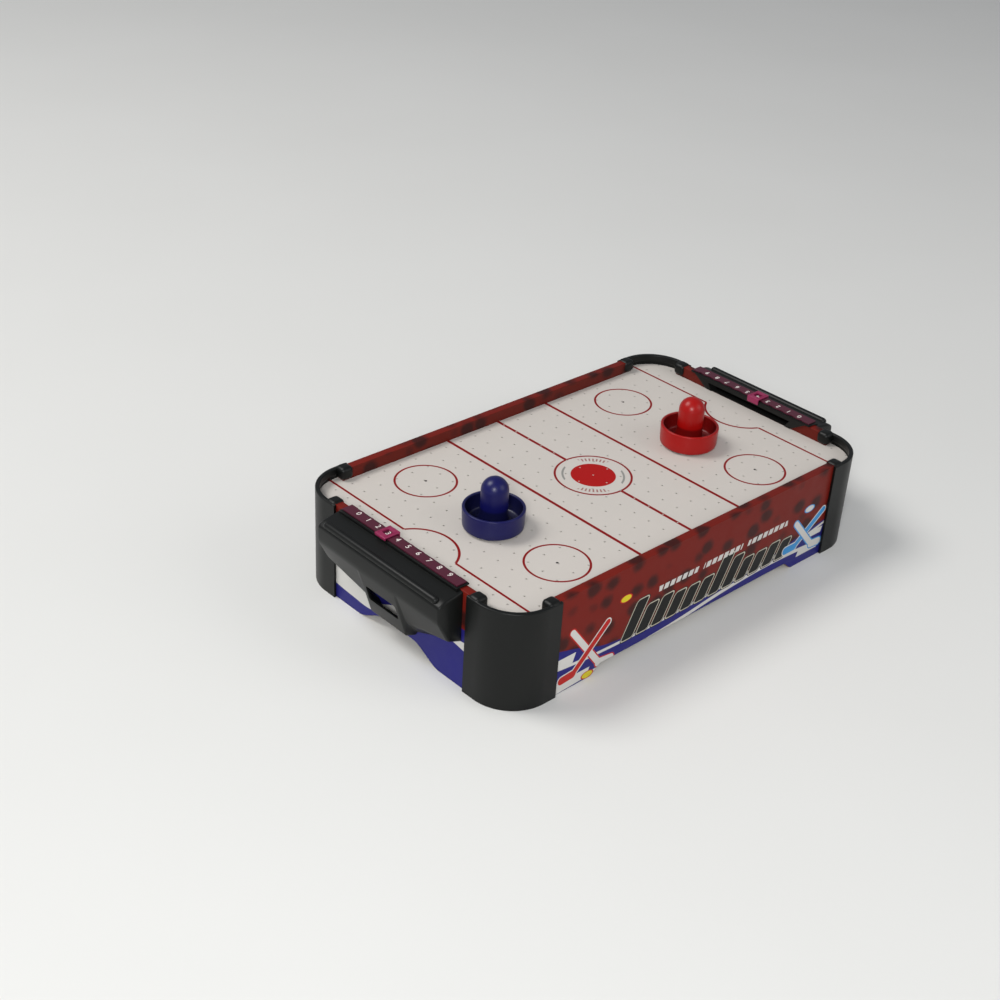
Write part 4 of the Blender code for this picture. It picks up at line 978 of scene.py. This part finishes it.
def make_guard(look):
    """The intake's grille: rings and spokes in a chamfered rim, with four screw holes."""
    low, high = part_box("blower_guard")
    radius = high.x
    intake, bar, rings = radius - 0.009, 0.0022, 3
    profile = [(0.0, high.z), (radius, high.z), (radius, low.z + 0.0006)]
    profile += [(radius - 0.0006, low.z), (0.0, low.z)]
    made = new_object("blower_guard_look", turned(profile, 96))
    depth = through(low.z, high.z)
    pitch = intake / (rings + 0.5)
    slots = []
    for ring in range(rings):
        inner, outer = pitch * (ring + 0.5) + bar / 2, pitch * (ring + 1.5) - bar / 2
        slots += [prism(ring_slot(inner, outer, quarter, bar), *depth) for quarter in range(4)]
    for index in (1, 2, 3, 4):
        spot = sum(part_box(f"blower_screw_{index}"), Vector()) / 2
        slots.append(prism(circle(0.0018, 24, (spot.x, spot.y)), *depth))
    combine(made, ("DIFFERENCE", joined(slots)))
    stand_for("blower_guard", made, look)


def make_inlet(body_look, pin_look):
    """The power inlet: a flanged plastic barrel, and a metal pin in its bore."""
    low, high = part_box("inlet_jack")
    radius, length = (high.x - low.x) / 2, high.y - low.y
    barrel, bore, depth, flange = 0.0040, 0.0028, 0.008, 0.0016
    profile = [(0.0, 0.0), (barrel, 0.0), (barrel, length - flange), (radius, length - flange)]
    floor = length - flange - depth
    profile += [(radius, length), (bore + 0.0006, length), (bore, length - 0.0006), (bore, floor), (0.0, floor)]
    profile = rounded(profile, (0, 0.0004, 0, 0.0002, 0.0006, 0.0002, 0.0002, 0, 0), steps=3, closed=False)
    spot = Matrix.Translation((INLET.x, low.y, INLET.z)) @ Matrix.Rotation(-pi / 2, 4, "X")
    stand_for("inlet_jack", placed(turned(profile, 48), spot), body_look)
    pin = [(0.0, floor - 0.0005), (0.0009, floor - 0.0005)]
    pin += [(0.0009, length - 0.0026), (0.0006, length - 0.0021), (0.0, length - 0.0020)]
    finish_piece(new_object("inlet_pin", placed(turned(pin, 24), spot)), pin_look, "inlet_jack")


def make_switch(body_look, rocker_look, ink_look):
    """The rocker switch: a soft-edged bezel, and a dished rocker on two pins with its on and off marks."""
    face = BOARD_HIGH.y + GAP
    low, high = SWITCH_LOW, SWITCH_HIGH
    pivot = Vector(((low.x + high.x) / 2, face - 0.0025, 0.0))
    tilt = Matrix.Rotation(radians(-7.0), 4, "Z")
    back = tilt.inverted() @ Matrix.Translation(-pivot)
    flat = np.array([back @ vertex.co for vertex in frame["nodes"]["switch_rocker"].data.vertices])
    paddle = flat[np.abs(flat[:, 0]) > 0.002]
    levels = (paddle[:, 2].min(), paddle[:, 2].max())
    half, base, top = abs(flat[:, 0]).max(), flat[:, 1].min(), flat[:, 1].max()
    reach = (flat[:, 2].min(), flat[:, 2].max())
    tip = flat[flat[:, 2] > reach[1] - 0.0001]
    pin = np.hypot(tip[:, 0], tip[:, 1]).max()
    bezel = bevelled(box((low.x, high.x), (face, high.y), (low.z, high.z)), 0.0006, 3)
    made = new_object("switch_body_look", bezel)
    inner = (low.x + SWITCH_LIP, high.x - SWITCH_LIP), (low.z + SWITCH_LIP, high.z - SWITCH_LIP)
    block = box(inner[0], (low.y, face + 0.0008), inner[1])
    wall = 0.0016
    left, right = inner[0][0] + wall, inner[0][1] - wall
    floor, roof = inner[1][0] + wall, inner[1][1] - wall
    pocket = rounded([(left, floor), (right, floor), (right, roof), (left, roof)], 0.0005)
    pocket = prism(pocket, face - 0.0068, face + OVERCUT, "Y")
    hole = placed(prism(circle(pin + GAP, 24), low.z, high.z), Matrix.Translation(pivot))
    combine(made, ("UNION", block), ("DIFFERENCE", pocket), ("DIFFERENCE", hole))
    stand_for("switch_body", made, body_look)

    def surface(x):
        share = abs(x / half)
        return top * (0.75 + 0.25 * share**1.6) - 0.00025 * sin(pi * share)

    dished = [(x, surface(x)) for x in np.linspace(-half, half, 33)]
    outline = [(-0.85 * half, base), (0.85 * half, base)] + dished[::-1]
    mesh = bevelled(prism(outline, *levels), 0.0003, 2, angle=50)
    made = new_object("switch_rocker_look", placed(mesh, Matrix.Translation(pivot) @ tilt))
    combine(made, ("UNION", placed(prism(circle(pin, 24), *reach), Matrix.Translation(pivot))))
    stand_for("switch_rocker", made, rocker_look)
    middle, spot = (levels[0] + levels[1]) / 2, 0.56 * half
    level = surface(spot)
    wide, tall = (spot - 0.0002, spot + 0.0002), (middle - 0.0014, middle + 0.0014)
    bar = box(wide, (level - 0.0004, level + 0.00008), tall)
    sections = []
    for radius, rise in ((0.0013, -0.0005), (0.0013, 0.00008), (0.0009, 0.00008), (0.0009, -0.0003)):
        ring = [(x - spot, middle + z) for x, z in circle(radius, 24)]
        sections.append([(x, surface(x) + rise, z) for x, z in ring])
    mesh = placed(joined([bar, loft(sections)]), Matrix.Translation(pivot) @ tilt)
    finish_piece(new_object("switch_marks", mesh), ink_look, "switch_rocker")


# ---------------------------------------------------------------- stage


def make_camera():
    data = bpy.data.cameras.new("camera")
    data.lens, data.sensor_width = 55.67, 36.0
    data.clip_start, data.clip_end = 0.05, 50.0
    camera = bpy.data.objects.new("camera", data)
    bpy.context.scene.collection.objects.link(camera)
    heading, down, roll = radians(45.84), radians(30.85), radians(3.43)
    toward = Vector((cos(down) * cos(heading), cos(down) * sin(heading), -sin(down)))
    camera.rotation_mode = "QUATERNION"
    camera.location = (-1.01228, -0.90959, 0.86810)
    camera.rotation_quaternion = toward.to_track_quat("-Z", "Y") @ Quaternion((0.0, 0.0, 1.0), roll)
    bpy.context.scene.camera = camera


def make_light(name, spot, size, power, colour):
    data = bpy.data.lights.new(name, "AREA")
    data.shape, data.size, data.energy, data.color = "DISK", size, power, colour
    light = bpy.data.objects.new(name, data)
    bpy.context.scene.collection.objects.link(light)
    light.location = spot
    light.rotation_mode = "QUATERNION"
    light.rotation_quaternion = (Vector((0.0, 0.0, 0.05)) - Vector(spot)).to_track_quat("-Z", "Y")


def make_stage():
    look = Look("floor_paper", srgb(226, 226, 223), 0.85)
    look.paint(look.noise(0.4, detail=3.0), srgb(216, 216, 212), 0.5)
    look.bump(look.noise(0.002, detail=3.0), 0.00005)
    floor = new_object("floor", prism([(-4, -4), (4, -4), (4, 4), (-4, 4)], -0.02, -0.0001))
    floor.data.materials.append(look.material)
    make_light("key", (-1.7, 1.9, 3.4), 1.9, 96.0, (1.0, 0.985, 0.96))
    make_light("fill", (-2.6, -2.2, 2.0), 2.2, 12.0, (0.96, 0.98, 1.0))
    make_light("frontal", (-1.9, -1.5, 1.5), 0.6, 34.0, (1.0, 1.0, 1.0))
    make_light("front", (1.6, -3.0, 2.0), 2.4, 26.0, (1.0, 0.99, 0.98))
    world = bpy.data.worlds.new("studio")
    world.use_nodes = True
    world.node_tree.nodes["Background"].inputs["Color"].default_value = (0.9, 0.93, 1.0, 1.0)
    world.node_tree.nodes["Background"].inputs["Strength"].default_value = 0.30
    bpy.context.scene.world = world
    bpy.context.scene.view_settings.view_transform = "Standard"


def dress_hidden(steel, grey, black):
    """CAD nodes that stay as they are: what sits in the air chamber, and the board under it."""
    wood = {axis: timber(f"softwood_{axis}", srgb(196, 160, 112), srgb(150, 108, 66), axis) for axis in "XYZ"}
    for node in frame["nodes"]:
        if node.startswith("corner_block"):
            dress(node, wood["Z"], 0.0006)
        elif node.startswith("ledge"):
            dress(node, wood["Y" if node.endswith(("left", "right")) else "X"], 0.0006)
        elif node.startswith("cap_screw") or (node.startswith("goal_box") and "screw" in node):
            dress(node, steel)
    dress("bottom_board", hardboard_look(), 0.0004)
    dress("inlet_nut", steel, 0.0003)
    dress("blower_motor", steel)
    dress("blower_housing", grey, 0.0004)
    dress("blower_impeller", grey, 0.0003)
    wires = {"wire_red": moulded("wire_red", srgb(150, 20, 18), 0.45), "wire_black": black}
    for node in ("wire_inlet_to_motor", "wire_inlet_to_switch", "wire_switch_to_motor"):
        dress(node, wires[SLOT_OF[node]])


def main():
    make_camera()
    make_stage()
    black = moulded("black_satin", srgb(10, 12, 11), 0.42, Specular_IOR_Level=0.26)
    steel = zinc()
    grey = moulded("grey_moulding", srgb(104, 104, 106), 0.5)
    ink = moulded("white_ink", srgb(226, 220, 214), 0.5, dust=0.0)
    felt = felt_look()
    make_boards()
    make_playfield()
    make_caps(black)
    make_goal("goal_box_left", -1, black)
    make_goal("goal_box_right", 1, black)
    strip = moulded("strip_magenta", srgb(74, 16, 38), 0.38)
    marker = moulded("marker_pink", srgb(138, 34, 76), 0.32)
    make_score("left", -1, strip, ink, marker)
    make_score("right", 1, strip, ink, marker)
    blue = moulded("striker_blue", srgb(12, 13, 76), 0.36, dust=0.02, Specular_IOR_Level=0.35)
    red = moulded("striker_red", srgb(156, 5, 3), 0.36, dust=0.02, Specular_IOR_Level=0.35)
    # The third colour is each striker's painted shade inside its dish.
    make_striker("striker_blue", blue, srgb(12, 14, 34), felt)
    make_striker("striker_red", red, srgb(70, 6, 6), felt)
    make_puck(moulded("puck_red", srgb(186, 20, 16), 0.35))
    for index in (1, 2, 3, 4):
        make_screw(f"blower_screw_{index}", steel)
    for side in ("front", "rear"):
        for end in ("left", "right"):
            make_screw(f"bottom_screw_{side}_{end}", steel)
    make_guard(black)
    make_inlet(black, steel)
    make_switch(black, moulded("rocker_red", srgb(176, 20, 16), 0.32, Coat_Weight=0.3), ink)
    dress_hidden(steel, grey, black)


main()
